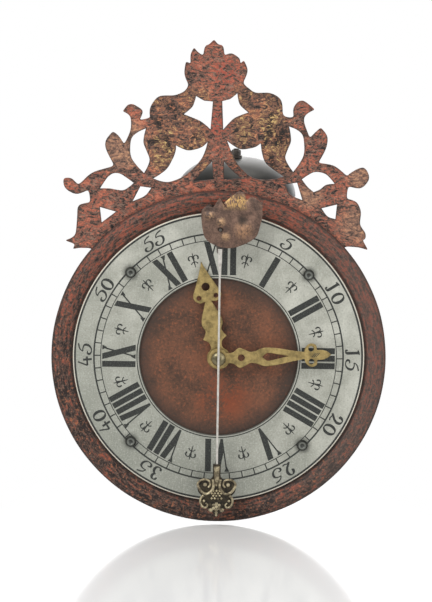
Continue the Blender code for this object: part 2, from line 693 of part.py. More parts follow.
def build_escutcheon():
    def front(share):
        return ESCUTCHEON_BACK + ESCUTCHEON_SHEET + ESCUTCHEON_RISE * (1 - share * share)

    def back(share):
        return front(share) - ESCUTCHEON_SHEET

    body = dished(smooth(ESCUTCHEON_EDGE), front, back, levels=3)
    sheet = put("escutcheon", body, COPPER, (*ESCUTCHEON_CENTRE, 0.0))
    top = ESCUTCHEON_BACK + ESCUTCHEON_RISE + 3
    holes = []
    for (x, y), radius in zip([(0.0, VERGE_HEIGHT)] + ESCUTCHEON_SPOTS, [PIVOT + RUNNING] + 2 * [1.0 + GAP]):
        spot = (x - ESCUTCHEON_CENTRE[0], y - ESCUTCHEON_CENTRE[1])
        holes.append(pin(radius, DIAL_FRONT, top, spot))
    drill(sheet, *holes)
    for side, spot in zip(("left", "right"), ESCUTCHEON_SPOTS):
        stages = [(ESCUTCHEON_POST - 0.6, DIAL_BACK + GAP), (ESCUTCHEON_POST, DIAL_FRONT + RIM_RISE),
                  (1.0, ESCUTCHEON_BACK + 0.1), (0.0, ESCUTCHEON_BACK + ESCUTCHEON_RISE + ESCUTCHEON_SHEET)]
        put(f"escutcheon_post_{side}", rod(stages), DARK_IRON, (*spot, 0.0))


# Frame
POST_DEPTHS = {"back": FRAME_BACK + POST / 2, "front": FRAME_FRONT - POST / 2}
HOOP_LEG = (HOOP_WIDTH - HOOP_BAR) / 2
HOOP_RIVET_SPOT = (HOOP_LEG, HOOP_DEPTH - 4.0)
BARS = {"back": (BACK_BAR, BACK_BAR_FRONT), "middle": (MIDDLE_BAR, MIDDLE_BAR_FRONT),
        "front": (FRONT_BAR, FRONT_BAR_FRONT)}
MORTISE = (BAR_TENON / 2 + GAP, BAR / 2 + GAP)


def plate_loops(outline):
    loops = [outline]
    for side in (-1, 1):
        for depth in POST_DEPTHS.values():
            loops.append(box(POST_TENON / 2 + GAP, POST_TENON / 2 + GAP, (side * POST_X, depth)))
    for low, high in BARS.values():
        loops.append(box(*MORTISE, (0.0, (low + high) / 2)))
    return loops


def hammer_slot():
    """Inner end of the top plate's slot, clear of the hammer's shaft at its full swing."""
    reach = FRAME_TOP + FRAME_PLATE - LEVER_HEIGHT
    lean = HAMMER_LEAN * reach / HAMMER_HEIGHT
    swing = math.radians(HAMMER_SWING)
    return POST_X + lean * math.cos(swing) - reach * math.sin(swing) - HAMMER_SHAFT / 2 - GAP


def build_frame():
    half = FRAME_WIDTH / 2
    slot = HAMMER_HEAD + 1.5
    end = hammer_slot()
    edge = [(-half, FRAME_BACK), (half, FRAME_BACK), (half, BELL_DEPTH - slot), (end, BELL_DEPTH - slot),
            (end, BELL_DEPTH + slot), (half, BELL_DEPTH + slot), (half, FRAME_FRONT), (-half, FRAME_FRONT)]
    loops = plate_loops(edge)
    loops.append(circle(BELL_POST - 0.6 + GAP, 10, (BELL_OFFSET, BELL_DEPTH)))
    for side in (-1, 1):
        loops.append(circle(RIVET + GAP, 8, (side * HOOP_RIVET_SPOT[0], HOOP_RIVET_SPOT[1])))
    put("top_plate", prism(loops, 0.0, FRAME_PLATE), DARK_IRON, (0.0, FRAME_TOP + FRAME_PLATE, 0.0), "flat")

    loops = plate_loops(box(half, (FRAME_FRONT - FRAME_BACK) / 2, (0.0, (FRAME_BACK + FRAME_FRONT) / 2)))
    for back in (GOING_PULLEY_BACK, STRIKE_PULLEY_BACK):
        for side in (-1, 1):
            loops.append(circle(4.0, 8, (side * (PULLEY_RADIUS - 1), back + PULLEY_WIDTH / 2)))
    put("bottom_plate", prism(loops, 0.0, FRAME_PLATE), DARK_IRON, (0.0, FRAME_BOTTOM, 0.0), "flat")

    height = FRAME_TOP - FRAME_BOTTOM
    square = math.sqrt(2) / 2
    profile = [(0.0, -FRAME_PLATE), (POST_TENON * square, -FRAME_PLATE), (POST_TENON * square, GAP),
               (POST * square, GAP), (POST * square, 6.0), (POST * square * 0.8, 8.0),
               (POST * square * 0.8, height - 8.0 - POST), (POST * square, height - 6.0 - POST),
               (POST * square, height - GAP), (POST_TENON * square, height - GAP),
               (POST_TENON * square, height + FRAME_PLATE), (0.0, height + FRAME_PLATE)]
    for end, depth in POST_DEPTHS.items():
        for side, sign in (("left", -1), ("right", 1)):
            post = put(f"post_{end}_{side}", turned(profile, 4, start=math.pi / 4), DARK_IRON,
                       (sign * POST_X, FRAME_TOP, depth), "flat")
            drill(post, across(PIVOT + 0.1 + RUNNING, -POST, POST, FRAME_TOP - LEVER_HEIGHT))


def across(radius, low, high, down):
    """Cutter along the depth of a piece that faces flat, at a distance below its top."""
    cutter = prism([circle(radius)], low, high)
    bmesh.ops.rotate(cutter, cent=(0, 0, 0), matrix=Matrix.Rotation(-UP, 3, "X"), verts=cutter.verts[:])
    bmesh.ops.translate(cutter, verts=cutter.verts[:], vec=(0.0, 0.0, down))
    return cutter


def build_bars():
    half, tenon = BAR_WIDTH / 2, BAR_TENON / 2
    low, high = FRAME_BOTTOM, FRAME_TOP
    edge = [(-half, low + GAP), (-tenon, low + GAP), (-tenon, low - FRAME_PLATE), (tenon, low - FRAME_PLATE),
            (tenon, low + GAP), (half, low + GAP), (half, high - GAP), (tenon, high - GAP),
            (tenon, high + FRAME_PLATE), (-tenon, high + FRAME_PLATE), (-tenon, high - GAP),
            (-half, high - GAP)]
    fine = PIVOT + RUNNING
    potence_slot = (POTENCE_TENON / 2 + GAP, POTENCE / 2 + GAP)
    holes = {
        "back": [circle(ARBOR + RUNNING)] + [circle(fine, 8, (0.0, y))
                                                 for y in (HOOP_HEIGHT, FLY_HEIGHT)]
        + [circle(STUD + GAP, 8, (0.0, COUNT_HEIGHT))],
        "middle": [circle(fine, 8, (0.0, y)) for y in (0.0, CONTRATE_HEIGHT, HOOP_HEIGHT, FLY_HEIGHT,
                                                       VERGE_HEIGHT)],
        "front": [circle(ARBOR + RUNNING), circle(fine, 8, (0.0, CONTRATE_HEIGHT)),
                  circle(VERGE_STAFF + 1.0, 8, (0.0, VERGE_HEIGHT)),
                  circle(STUD + GAP, 8, (0.0, MOTION_CENTRES)),
                  box(*potence_slot, (0.0, UPPER_POTENCE - POTENCE / 2)),
                  box(*potence_slot, (0.0, LOWER_POTENCE + POTENCE / 2))],
    }
    for name, (back, front) in BARS.items():
        put(f"{name}_bar", prism([edge] + holes[name], back, front), DARK_IRON)

    nose = POTENCE_NOSE
    for name, top, bore in (("upper_potence", UPPER_POTENCE, ESCAPE_JOURNAL),
                            ("lower_potence", LOWER_POTENCE + POTENCE, PIVOT)):
        shoulder, tenon = FRONT_BAR - GAP, POTENCE_TENON / 2
        edge = [polar(nose, math.pi + math.pi * k / 6, (0.0, ESCAPE_DEPTH)) for k in range(7)]
        edge += [(nose, shoulder), (tenon, shoulder), (tenon, FRONT_BAR_FRONT), (-tenon, FRONT_BAR_FRONT),
                 (-tenon, shoulder), (-nose, shoulder)]
        put(name, prism([edge, circle(bore + RUNNING, 10, (0.0, ESCAPE_DEPTH))], 0.0, POTENCE), DARK_IRON,
            (0.0, top, 0.0), "flat")


def build_hanging():
    half, inner = HOOP_WIDTH / 2, HOOP_WIDTH / 2 - HOOP_BAR
    corner = 4.0
    edge = [(-half, corner), (-half + corner, 0.0), (half - corner, 0.0), (half, corner), (half, HOOP_DEPTH),
            (inner, HOOP_DEPTH), (inner, HOOP_BAR), (-inner, HOOP_BAR), (-inner, HOOP_DEPTH),
            (-half, HOOP_DEPTH)]
    bent = prism([edge], 0.0, HOOP_THICK)
    hoop = put("hanging_hoop", bent, DARK_IRON, (0.0, FRAME_TOP - GAP, 0.0), "flat")
    head = RIVET + 1.2
    over = -(FRAME_PLATE + GAP)
    profile = [(0.0, over - 2.0), (head * 0.7, over - 1.5), (head, over - GAP), (RIVET, over - GAP),
               (RIVET, HOOP_THICK / 2), (0.0, HOOP_THICK / 2)]
    for side in (-1, 1):
        join(hoop, moved(turned(profile, 8), (side * HOOP_RIVET_SPOT[0], HOOP_RIVET_SPOT[1], 0.0)))
    wide = SPUR_WIDTH / 2
    edge = [(-1.2, 0.0), (1.2, 0.0), (wide, WALL_GAP - 4.0), (wide, SPUR_LENGTH), (-wide, SPUR_LENGTH),
            (-wide, WALL_GAP - 4.0)]
    for side, sign in (("left", -1), ("right", 1)):
        put(f"wall_spur_{side}", prism([edge], 0.0, SPUR_THICK), DARK_IRON,
            (sign * SPUR_OFFSET, FRAME_BOTTOM + GAP + SPUR_THICK, 0.0), "flat")


# Bell
def build_bell():
    bore = BELL_THREAD + GAP
    outer, inner = [], []
    bends = 4
    for k in range(bends + 1):
        swing = UP * k / bends
        outer.append((max(bore, BELL_RADIUS * math.sin(swing)), BELL_HEIGHT * math.cos(swing)))
        inner.append((max(bore, (BELL_RADIUS - BELL_WALL) * math.sin(swing)),
                      (BELL_HEIGHT - BELL_WALL) * math.cos(swing)))
    at = (BELL_OFFSET, BELL_LIP, BELL_DEPTH)
    put("bell", turned(outer + list(reversed(inner)), 24, closed=True), BELL_METAL, at, "up")
    plate_top = FRAME_TOP + FRAME_PLATE - BELL_LIP
    seat = BELL_HEIGHT - BELL_WALL - GAP
    stages = [(BELL_POST - 0.6, plate_top - FRAME_PLATE), (BELL_POST + 2.0, plate_top + GAP),
              (BELL_POST, plate_top + 2.0), (BELL_THREAD, seat), (0.0, BELL_HEIGHT + 6.8)]
    put("bell_post", rod(stages), DARK_IRON, at, "up")
    put("bell_washer", tube(bore, 4.6, BELL_HEIGHT + GAP, BELL_HEIGHT + 1.5, 12), DARK_IRON, at, "up")
    nut = turned([(bore, BELL_HEIGHT + 1.5 + GAP), (3.6, BELL_HEIGHT + 1.5 + GAP), (3.6, BELL_HEIGHT + 5.0),
                  (3.0, BELL_HEIGHT + 6.0), (bore, BELL_HEIGHT + 6.0)], 6, closed=True)
    put("bell_nut", nut, DARK_IRON, at, "up")


# Going train
GOING_PHASE = 0.0
CONTRATE_PHASE = meshed(GOING_PHASE, GOING_TEETH, GOING_PINION, UP)


def rope_pulley(name, back, finish):
    front = back + PULLEY_WIDTH
    bore = GREAT_ARBOR + RUNNING
    floor = PULLEY_RADIUS - 3.5
    profile = [(bore, back), (PULLEY_RADIUS, back), (PULLEY_RADIUS, back + 1.2), (floor, back + 3.0),
               (floor, front - 3.0), (PULLEY_RADIUS, front - 1.2), (PULLEY_RADIUS, front), (bore, front)]
    pulley = put(name, turned(profile, 16, closed=True), finish)
    spikes = []
    for i in range(SPIKES):
        spike = turned([(0.0, -1.0), (0.8, -1.0), (0.0, 3.0)], 4)
        spike = moved(spike, about_y=UP)
        spike = moved(spike, (floor, 0.0, back + PULLEY_WIDTH / 2))
        spikes.append(moved(spike, about_z=2 * math.pi * (i + 0.5) / SPIKES))
    return join(pulley, together(*spikes))


def build_going_train():
    stages = [(PIVOT, MIDDLE_BAR + BAR / 2 + 0.2), (GREAT_ARBOR, MIDDLE_BAR_FRONT + GAP),
              (ARBOR, FRONT_BAR - GAP), (0.0, NUT_FRONT - 0.7)]
    put("going_arbor", rod(stages), BRIGHT_IRON)
    wheel = [teeth(GOING_TEETH, GOING_MODULE, GOING_PHASE), circle(GREAT_ARBOR + GAP)]
    wheel += crossings(WHEEL_HUB, GOING_RADIUS - 4.5)
    put("going_wheel", prism(wheel, GOING_WHEEL_BACK, GOING_WHEEL_FRONT), BRIGHT_IRON)
    rope_pulley("going_pulley", GOING_PULLEY_BACK, DARK_IRON)

    height = (0.0, CONTRATE_HEIGHT, 0.0)
    stages = [(PIVOT, MIDDLE_BAR + GAP), (ARBOR, MIDDLE_BAR_FRONT + GAP), (PIVOT, FRONT_BAR - GAP),
              (0.0, FRONT_BAR_FRONT - GAP)]
    arbor = put("contrate_arbor", rod(stages), BRIGHT_IRON, height)
    join(arbor, prism([leaves(GOING_PINION, GOING_MODULE, CONTRATE_PHASE)], GOING_WHEEL_BACK - 1.5,
                      GOING_WHEEL_FRONT + 1.5))
    inner = CONTRATE_RADIUS - 1.5
    outer = CONTRATE_RADIUS + 1.5
    windows = [circle(ARBOR + GAP, 8)] + crossings(7.0, inner - 1.5)
    wheel = crown(CONTRATE_TEETH, inner, outer, CONTRATE_BACK, WEB, CONTRATE_ROOTS, CONTRATE_TIPS, 0.5,
                  windows)
    put("contrate_wheel", wheel, BRASS, height)

    # The escape arbor stands upright, its pinion's back leaves in the contrate teeth.
    share = (UP - math.pi / CONTRATE_TEETH) * CONTRATE_TEETH / (2 * math.pi)
    pinion_phase = UP - (0.5 + share) * 2 * math.pi / ESCAPE_PINION
    at = (0.0, 0.0, ESCAPE_DEPTH)
    contact = CONTRATE_HEIGHT + CONTRATE_RADIUS
    thick = PIVOT + 0.4
    stages = [(PIVOT, LOWER_POTENCE + GAP), (thick, LOWER_POTENCE + POTENCE + GAP),
              (ESCAPE_JOURNAL, UPPER_POTENCE - POTENCE - GAP), (thick, UPPER_POTENCE + GAP),
              (0.0, CROWN_BASE + WEB + 1.0)]
    arbor = put("escape_arbor", rod(stages), BRIGHT_IRON, at, "up")
    join(arbor, prism([leaves(ESCAPE_PINION, CONTRATE_MODULE, pinion_phase)], contact - 5.0, contact + 4.0))
    inner = ESCAPE_RADIUS - CROWN_BAND
    windows = [circle(thick + GAP, 8)] + crossings(4.0, inner - 1.2, arms=3, arm=2.6)
    wheel = crown(ESCAPE_TEETH, inner, ESCAPE_RADIUS, CROWN_BASE, WEB, CROWN_ROOTS, CROWN_TIPS, 0.15,
                  windows)
    put("escape_wheel", wheel, BRASS, at, "up")


# Verge and pendulum
BOB_SIDE = [(BOB_NECK, BOB_STEM, CORNER), (BOB_NECK, 12.5), (5.5, 10.2), (10, 10.6), (14, 6.5), (13.6, 1.0),
            (10.3, -2.4, CORNER), (11.3, -6), (9.5, -11), (4.6, -12.4, CORNER), (2.6, -15)]
BOB_SCROLLS = ((7.6, 4.2, 3.7, 2.0), (7.6, -7.4, 2.5, 1.5))


def build_pendulum():
    axis = (0.0, VERGE_HEIGHT, 0.0)
    front = ESCUTCHEON_BACK + ESCUTCHEON_RISE + ESCUTCHEON_SHEET
    stages = [(PIVOT, MIDDLE_BAR + GAP), (VERGE_STAFF, MIDDLE_BAR_FRONT + GAP),
              (PIVOT, ESCUTCHEON_BACK - 0.5), (0.0, front)]
    verge = put("verge", rod(stages), BRIGHT_IRON, axis)
    middle = ESCAPE_RADIUS - CROWN_BAND / 2
    for side in (-1, 1):
        edge = box(0.5, PALLET_REACH / 2, (0.0, -PALLET_REACH / 2))
        blade = prism([edge], -PALLET_WIDTH / 2, PALLET_WIDTH / 2)
        turn = -side * math.radians(PALLET_ANGLE)
        join(verge, moved(blade, (0.0, 0.0, ESCAPE_DEPTH + side * middle), about_z=turn))

    arm = arm_outline((0.0, 0.0), (0.0, -ARM_LENGTH + ARM_WIDTH / 2), ARM_WIDTH + 3.0, ARM_WIDTH)
    put("pendulum_arm", prism([arm, circle(VERGE_STAFF + GAP)], ARM_BACK, ARM_FRONT), DARK_IRON, axis)

    bob_top = -BOB_DROP + BOB_STEM
    flat_top = -ARM_LENGTH + 5.0
    flat_low = flat_top - ROD_FLAT_LENGTH
    edge = mirrored([(ROD, bob_top - 14.0), (ROD, flat_low), (ROD_FLAT / 2, flat_low + 7.0),
                     (ROD_FLAT / 2, flat_top)])
    put("pendulum_rod", prism([edge], ROD_PLANE - ROD, ROD_PLANE + ROD), PALE_STEEL, axis)
    plane = ROD_PLANE

    def face(share):
        return BOB_EDGE + BOB_RISE * math.sqrt(max(0.0, 1 - share ** 2))

    edge = smooth(mirrored(BOB_SIDE, (0.0, -17.0, CORNER)))
    body = dished(edge, face, lambda share: -face(share), levels=2)
    bob = put("pendulum_bob", moved(body, (0.0, -BOB_DROP, plane)), BRASS, axis)
    for x, y, ring, thick in BOB_SCROLLS:
        for side in (-1, 1):
            bead = [polar(thick, math.tau * k / 4, (ring, 0.0)) for k in range(4)]
            scroll = turned(bead, 8, closed=True)
            join(bob, moved(scroll, (side * x, y - BOB_DROP, plane + BOB_EDGE + BOB_RISE * 0.4)))
    rosette = turned([(0.0, -1.0), (3.4, 0.0), (3.0, 1.6), (1.4, 2.4), (0.0, 2.5)], 10)
    join(bob, moved(rosette, (0.0, -10.0 - BOB_DROP, plane + BOB_EDGE + 0.6)))
    bore = box(ROD + GAP, 10.0, (0.0, bob_top - 5.0 + GAP))
    drill(bob, prism([bore], plane - ROD - GAP, plane + ROD + GAP))


# Motion work and hands
MINUTE_PHASE = math.radians(-MINUTE_HAND_ANGLE)
MINUTE_WHEEL_PHASE = meshed(MINUTE_PHASE, CANNON_TEETH, MINUTE_TEETH, UP)
HOUR_PHASE = meshed(MINUTE_WHEEL_PHASE, MOTION_PINION, HOUR_TEETH, -UP)

MINUTE_SIDE = [(4.6, 11.5), (7.5, 15.5, CORNER), (6.0, 20), (4.2, 23.7, CORNER), (4.8, 28), (6.9, 34),
               (6.4, 43), (4.5, 53), (2.6, 64, CORNER), (5.6, 64.8), (8.9, 69), (7.4, 73),
               (3.8, 73.6, CORNER), (3.5, 78), (2.2, 81.5)]
MINUTE_TIP = (0.0, 84.0, CORNER)
MINUTE_SLOT = [(0.0, 32.6), (2.9, 36.5), (1.7, 44), (0.0, 52.3, CORNER), (-1.7, 44), (-2.9, 36.5)]
HOUR_SIDE = [(4.8, 12), (9.0, 15.5, CORNER), (7.0, 18.5), (6.0, 21, CORNER), (7.8, 26), (7.2, 31), (4.5, 38),
             (2.4, 43.2, CORNER), (6.5, 42.8), (10.2, 46), (9.0, 50), (6.6, 52, CORNER), (6.4, 57), (4.2, 66)]
HOUR_TIP = (0.0, 74.0, CORNER)


def hand_outline(side, tip, hub):
    start = math.radians(58)
    arc = [(*polar(hub, -UP + (UP + start) * k / 6),) for k in range(1, 7)]
    arc[-1] = arc[-1] + (CORNER,)
    return smooth([(0.0, -hub)] + arc + list(side) + [tip] + [(-p[0],) + tuple(p[1:]) for p in
                                                             reversed(arc + list(side))])


def build_hands():
    shaft = MINUTE_PIPE - PIPE_WALL
    pipe = tube(shaft, MINUTE_PIPE, CANNON_BACK - 0.7, MINUTE_HAND_BACK + HAND_SHEET, 14)
    pipe = put("minute_pipe", pipe, BRASS)
    gear = [leaves(CANNON_TEETH, MOTION_MODULE, MINUTE_PHASE), circle(MINUTE_PIPE - 0.5, 14)]
    join(pipe, prism(gear, CANNON_BACK, CANNON_FRONT))
    bore = HOUR_PIPE - PIPE_WALL
    pipe = tube(bore, HOUR_PIPE, HOUR_WHEEL_BACK - 0.5, HOUR_HAND_BACK + HAND_SHEET, 16)
    wheel = put("hour_wheel", pipe, BRASS)
    gear = [teeth(HOUR_TEETH, HOUR_MODULE, HOUR_PHASE), circle(HOUR_PIPE - 0.5, 16)]
    gear += crossings(9.0, HOUR_TEETH * HOUR_MODULE / 2 - 5.5, arms=3, arm=4.0)
    join(wheel, prism(gear, HOUR_WHEEL_BACK, HOUR_WHEEL_FRONT))

    at = (0.0, MOTION_CENTRES, 0.0)
    gear = [teeth(MINUTE_TEETH, MOTION_MODULE, MINUTE_WHEEL_PHASE), circle(STUD + RUNNING)]
    gear += crossings(8.0, LIFT_PIN_CIRCLE - LIFT_PIN - 1.0, arms=3, arm=4.0)
    wheel = put("minute_wheel", prism(gear, CANNON_BACK, CANNON_FRONT), BRASS, at)
    pinion = [leaves(MOTION_PINION, HOUR_MODULE, MINUTE_WHEEL_PHASE), circle(STUD + RUNNING)]
    join(wheel, prism(pinion, CANNON_FRONT - 0.5, HOUR_WHEEL_FRONT))
    pins = [pin(LIFT_PIN, CANNON_FRONT - 0.5, HOUR_WHEEL_BACK - 0.4,
                polar(LIFT_PIN_CIRCLE, 2 * math.pi * i / 3 + 0.3)) for i in range(3)]
    join(wheel, together(*pins))
    stages = [(STUD, FRONT_BAR + GAP), (STUD + 1.0, FRONT_BAR_FRONT + GAP), (STUD, CANNON_BACK - 0.4),
              (0.0, HOUR_WHEEL_FRONT + 1.0)]
    put("minute_wheel_stud", rod(stages), DARK_IRON, at)

    hour = [hand_outline(HOUR_SIDE, HOUR_TIP, HAND_HUB), circle(HOUR_PIPE + GAP, 16),
            circle(3.0, 10, (0.0, 54.5))]
    hour += [circle(1.8, 8, (side * 6.4, 46.8)) for side in (-1, 1)]
    sheet = prism(hour, HOUR_HAND_BACK, HOUR_HAND_BACK + HAND_SHEET)
    put("hour_hand", moved(sheet, about_z=math.radians(-HOUR_HAND_ANGLE)), BRASS)
    slot = smooth(MINUTE_SLOT)
    minute = [hand_outline(MINUTE_SIDE, MINUTE_TIP, HAND_HUB - 1.0), circle(MINUTE_PIPE + GAP, 16),
              circle(2.5, 10, (0.0, 17.0)), slot]
    minute += [circle(2.0, 8, (side * 4.8, 69.2)) for side in (-1, 1)]
    sheet = prism(minute, MINUTE_HAND_BACK, MINUTE_HAND_BACK + HAND_SHEET)
    put("minute_hand", moved(sheet, about_z=math.radians(-MINUTE_HAND_ANGLE)), BRASS)
    face = MINUTE_HAND_BACK + HAND_SHEET + GAP
    profile = [(ARBOR + GAP, face), (HAND_NUT, face), (HAND_NUT, face + 1.0), (HAND_NUT * 0.75, face + 2.8),
               (ARBOR + GAP, NUT_FRONT)]
    put("hand_nut", turned(profile, 12, closed=True), DARK_IRON)


# Strike train
STRIKE_PHASE = 0.0
HOOP_PINION_PHASE = meshed(STRIKE_PHASE, STRIKE_TEETH, HOOP_PINION, UP)
HOOP_PHASE = 0.0
FLY_PHASE = meshed(HOOP_PHASE, HOOP_TEETH, FLY_PINION, UP)
REPORT_PHASE = 0.0
COUNT_PHASE = meshed(REPORT_PHASE, REPORT_PINION, COUNT_TEETH, UP)


def strike_arbor(name, height, pinion, module, phase, low, high):
    stages = [(PIVOT, BACK_BAR + GAP), (ARBOR, BACK_BAR_FRONT + GAP), (PIVOT, MIDDLE_BAR - GAP),
              (0.0, MIDDLE_BAR_FRONT - GAP)]
    arbor = put(name, rod(stages), BRIGHT_IRON, (0.0, height, 0.0))
    return join(arbor, prism([leaves(pinion, module, phase)], low, high))


def count_rim():
    """Rim with a notch after each hour's blows; a notch takes as much of the rim as one blow."""
    hours = range(1, 13)
    blow = 2 * math.pi / (sum(hours) + len(hours))
    loop = []
    start = 0.0
    for hour in hours:
        end = start + hour * blow
        parts = max(1, hour // 2)
        loop += [polar(COUNT_RIM, start + (end - start) * k / parts) for k in range(parts + 1)]
        loop += [polar(COUNT_RIM - COUNT_NOTCH, end), polar(COUNT_RIM - COUNT_NOTCH, end + blow)]
        start = end + blow
    return loop


def build_strike_train():
    stages = [(ARBOR, BACK_BAR - 3.8), (GREAT_ARBOR, BACK_BAR_FRONT + GAP), (PIVOT, MIDDLE_BAR - GAP),
              (0.0, MIDDLE_BAR + BAR / 2 - 0.2)]
    arbor = put("strike_arbor", rod(stages), BRIGHT_IRON)
    join(arbor, prism([leaves(REPORT_PINION, COUNT_MODULE, REPORT_PHASE)], BACK_BAR - 3.8, BACK_BAR - 0.6))
    wheel = [teeth(STRIKE_TEETH, STRIKE_MODULE, STRIKE_PHASE), circle(GREAT_ARBOR + GAP)]
    wheel += crossings(WHEEL_HUB, HAMMER_PIN_CIRCLE - HAMMER_PIN - 2.0)
    part = put("strike_wheel", prism(wheel, STRIKE_WHEEL_BACK, STRIKE_WHEEL_FRONT), BRIGHT_IRON)
    pins = []
    for i in range(HAMMER_PINS):
        spot = polar(HAMMER_PIN_CIRCLE, 2 * math.pi * (i + 0.5) / HAMMER_PINS)
        low, high = STRIKE_WHEEL_FRONT - 0.5, STRIKE_WHEEL_FRONT + HAMMER_PIN_LENGTH
        pins.append(pin(HAMMER_PIN, low, high, spot, 4))
    join(part, together(*pins))
    rope_pulley("strike_pulley", STRIKE_PULLEY_BACK, DARK_IRON)

    strike_arbor("hoop_arbor", HOOP_HEIGHT, HOOP_PINION, STRIKE_MODULE, HOOP_PINION_PHASE,
                 STRIKE_WHEEL_BACK - 1.0, STRIKE_WHEEL_FRONT + 1.0)
    wheel = [teeth(HOOP_TEETH, HOOP_MODULE, HOOP_PHASE), circle(ARBOR + GAP)]
    wheel += crossings(6.0, LOCK_HOOP - 3.0)
    disc = prism(wheel, HOOP_WHEEL_BACK, HOOP_WHEEL_BACK + WEB + 0.6)
    part = put("hoop_wheel", disc, BRASS, (0.0, HOOP_HEIGHT, 0.0))
    band = []
    for half in range(2):
        start = half * math.pi + math.radians(14)
        sweep = math.pi - math.radians(28)
        outer = [polar(LOCK_HOOP + 1.0, start + sweep * k / 6) for k in range(7)]
        inner = [polar(LOCK_HOOP - 0.8, start + sweep * k / 6) for k in reversed(range(7))]
        band.append(prism([outer + inner], LOCK_HOOP_BACK, HOOP_WHEEL_BACK + 0.5))
    join(part, together(*band))

    strike_arbor("fly_arbor", FLY_HEIGHT, FLY_PINION, HOOP_MODULE, FLY_PHASE, HOOP_WHEEL_BACK - 1.0,
                 HOOP_WHEEL_BACK + WEB + 1.6)
    low, high = BACK_BAR_FRONT + 2.0, LOCK_HOOP_BACK - 3.0
    at = (0.0, FLY_HEIGHT, 0.0)
    fly = put("fly_vane", tube(ARBOR + GAP, ARBOR + 1.4, low, high, 10), BRASS, at)
    for side in (-1, 1):
        length = FLY_REACH - ARBOR - 0.8
        blade = box(length / 2, FLY_SHEET / 2, (side * (ARBOR + 0.8 + length / 2), 0.0))
        join(fly, prism([blade], low + 0.2, high - 0.2))

    at = (0.0, COUNT_HEIGHT, 0.0)
    gear = [teeth(COUNT_TEETH, COUNT_MODULE, COUNT_PHASE), circle(STUD + RUNNING)]
    wheel = put("count_wheel", prism(gear, COUNT_FRONT - COUNT_GEAR, COUNT_FRONT), BRIGHT_IRON, at)
    rim_front = COUNT_BACK + COUNT_SHEET
    join(wheel, prism([count_rim(), circle(STUD + RUNNING)], COUNT_BACK, rim_front),
         tube(STUD + RUNNING, 3 * STUD, rim_front - 0.4, COUNT_FRONT - COUNT_GEAR + 0.2, 8))
    stages = [(STUD + 1.2, COUNT_BACK - 1.7), (STUD, COUNT_BACK - 0.4), (STUD + 1.0, COUNT_FRONT + GAP),
              (STUD, BACK_BAR - GAP), (0.0, BACK_BAR_FRONT - GAP)]
    put("count_wheel_stud", rod(stages), DARK_IRON, at)


# Hammer and strike lever, each on an arbor through the side posts
def tip_outside(centre, radius, angle, clear=0.5):
    return polar(radius + clear + LEVER_ARM / 2, math.radians(angle), centre)


def build_levers():
    journal = PIVOT + 0.1
    post_in, post_out = FRAME_BACK + POST + GAP, FRAME_FRONT - POST - GAP
    at = (POST_X, LEVER_HEIGHT, 0.0)
    stages = [(journal, FRAME_BACK + 1.0), (GREAT_ARBOR, post_in), (journal, post_out),
              (0.0, FRAME_FRONT - 1.0)]
    hammer = put("hammer", rod(stages), DARK_IRON, at)
    tail = tip_outside((0.0, 0.0), HAMMER_PIN_CIRCLE + HAMMER_PIN, 45.0)
    tail = (tail[0] - at[0], tail[1] - at[1])
    shaft = arm_outline((0.0, 0.0), (HAMMER_LEAN, HAMMER_HEIGHT), HAMMER_SHAFT + 2.0, HAMMER_SHAFT - 0.5)
    join(hammer, prism([arm_outline((0.0, 0.0), tail, 6.0, LEVER_ARM)], TAIL_BACK, TAIL_BACK + 3.0),
         prism([shaft], BELL_DEPTH - 1.6, BELL_DEPTH + 1.6))
    head = turned([(0.0, 0.0), (HAMMER_HEAD * 0.75, 0.0), (HAMMER_HEAD, 1.0),
                   (HAMMER_HEAD, HAMMER_HEAD_LENGTH - 1.0), (HAMMER_HEAD * 0.75, HAMMER_HEAD_LENGTH),
                   (0.0, HAMMER_HEAD_LENGTH)], 12)
    head = moved(head, about_y=UP)
    start = HAMMER_LEAN - HAMMER_HEAD_LENGTH / 2
    join(hammer, moved(head, (start, HAMMER_HEIGHT, BELL_DEPTH)))

    at = (-POST_X, LEVER_HEIGHT, 0.0)
    detent_back = COUNT_BACK - 0.2
    lift_back = CANNON_FRONT + 0.4
    stages = [(journal, detent_back - 0.8), (GREAT_ARBOR, post_in), (journal, post_out),
              (0.0, lift_back + 1.2)]
    lever = put("strike_lever", rod(stages), DARK_IRON, at)
    tips = ((tip_outside((0.0, COUNT_HEIGHT), COUNT_RIM, 110.0), detent_back,
             detent_back + COUNT_SHEET + 0.2),
            (tip_outside((0.0, HOOP_HEIGHT), LOCK_HOOP + 1.0, 110.0), LOCK_HOOP_BACK + 0.2,
             LOCK_HOOP_BACK + 2.4),
            (tip_outside((0.0, MOTION_CENTRES), LIFT_PIN_CIRCLE + LIFT_PIN, 120.0), lift_back,
             lift_back + 1.1))
    for tip, low, high in tips:
        reach = (tip[0] - at[0], tip[1] - at[1])
        join(lever, prism([arm_outline((0.0, 0.0), reach, 6.0, LEVER_ARM)], low, high))


build_dial()
build_crest()
build_escutcheon()
build_frame()
build_bars()
build_hanging()
build_bell()
build_going_train()
build_pendulum()
build_hands()
build_strike_train()
build_levers()
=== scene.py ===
"""Looks of the iron wall clock: worn paint, pewter ring, brass hands and the open movement.

Shapes are drawn in millimetres in the clock's own frame: x right, y up from the dial's centre and z
forward from the wall. TO_WORLD turns that into the frame's metres.
"""
import math

import bmesh
import bpy
import numpy as np
from mathutils import Matrix, Vector, geometry, noise


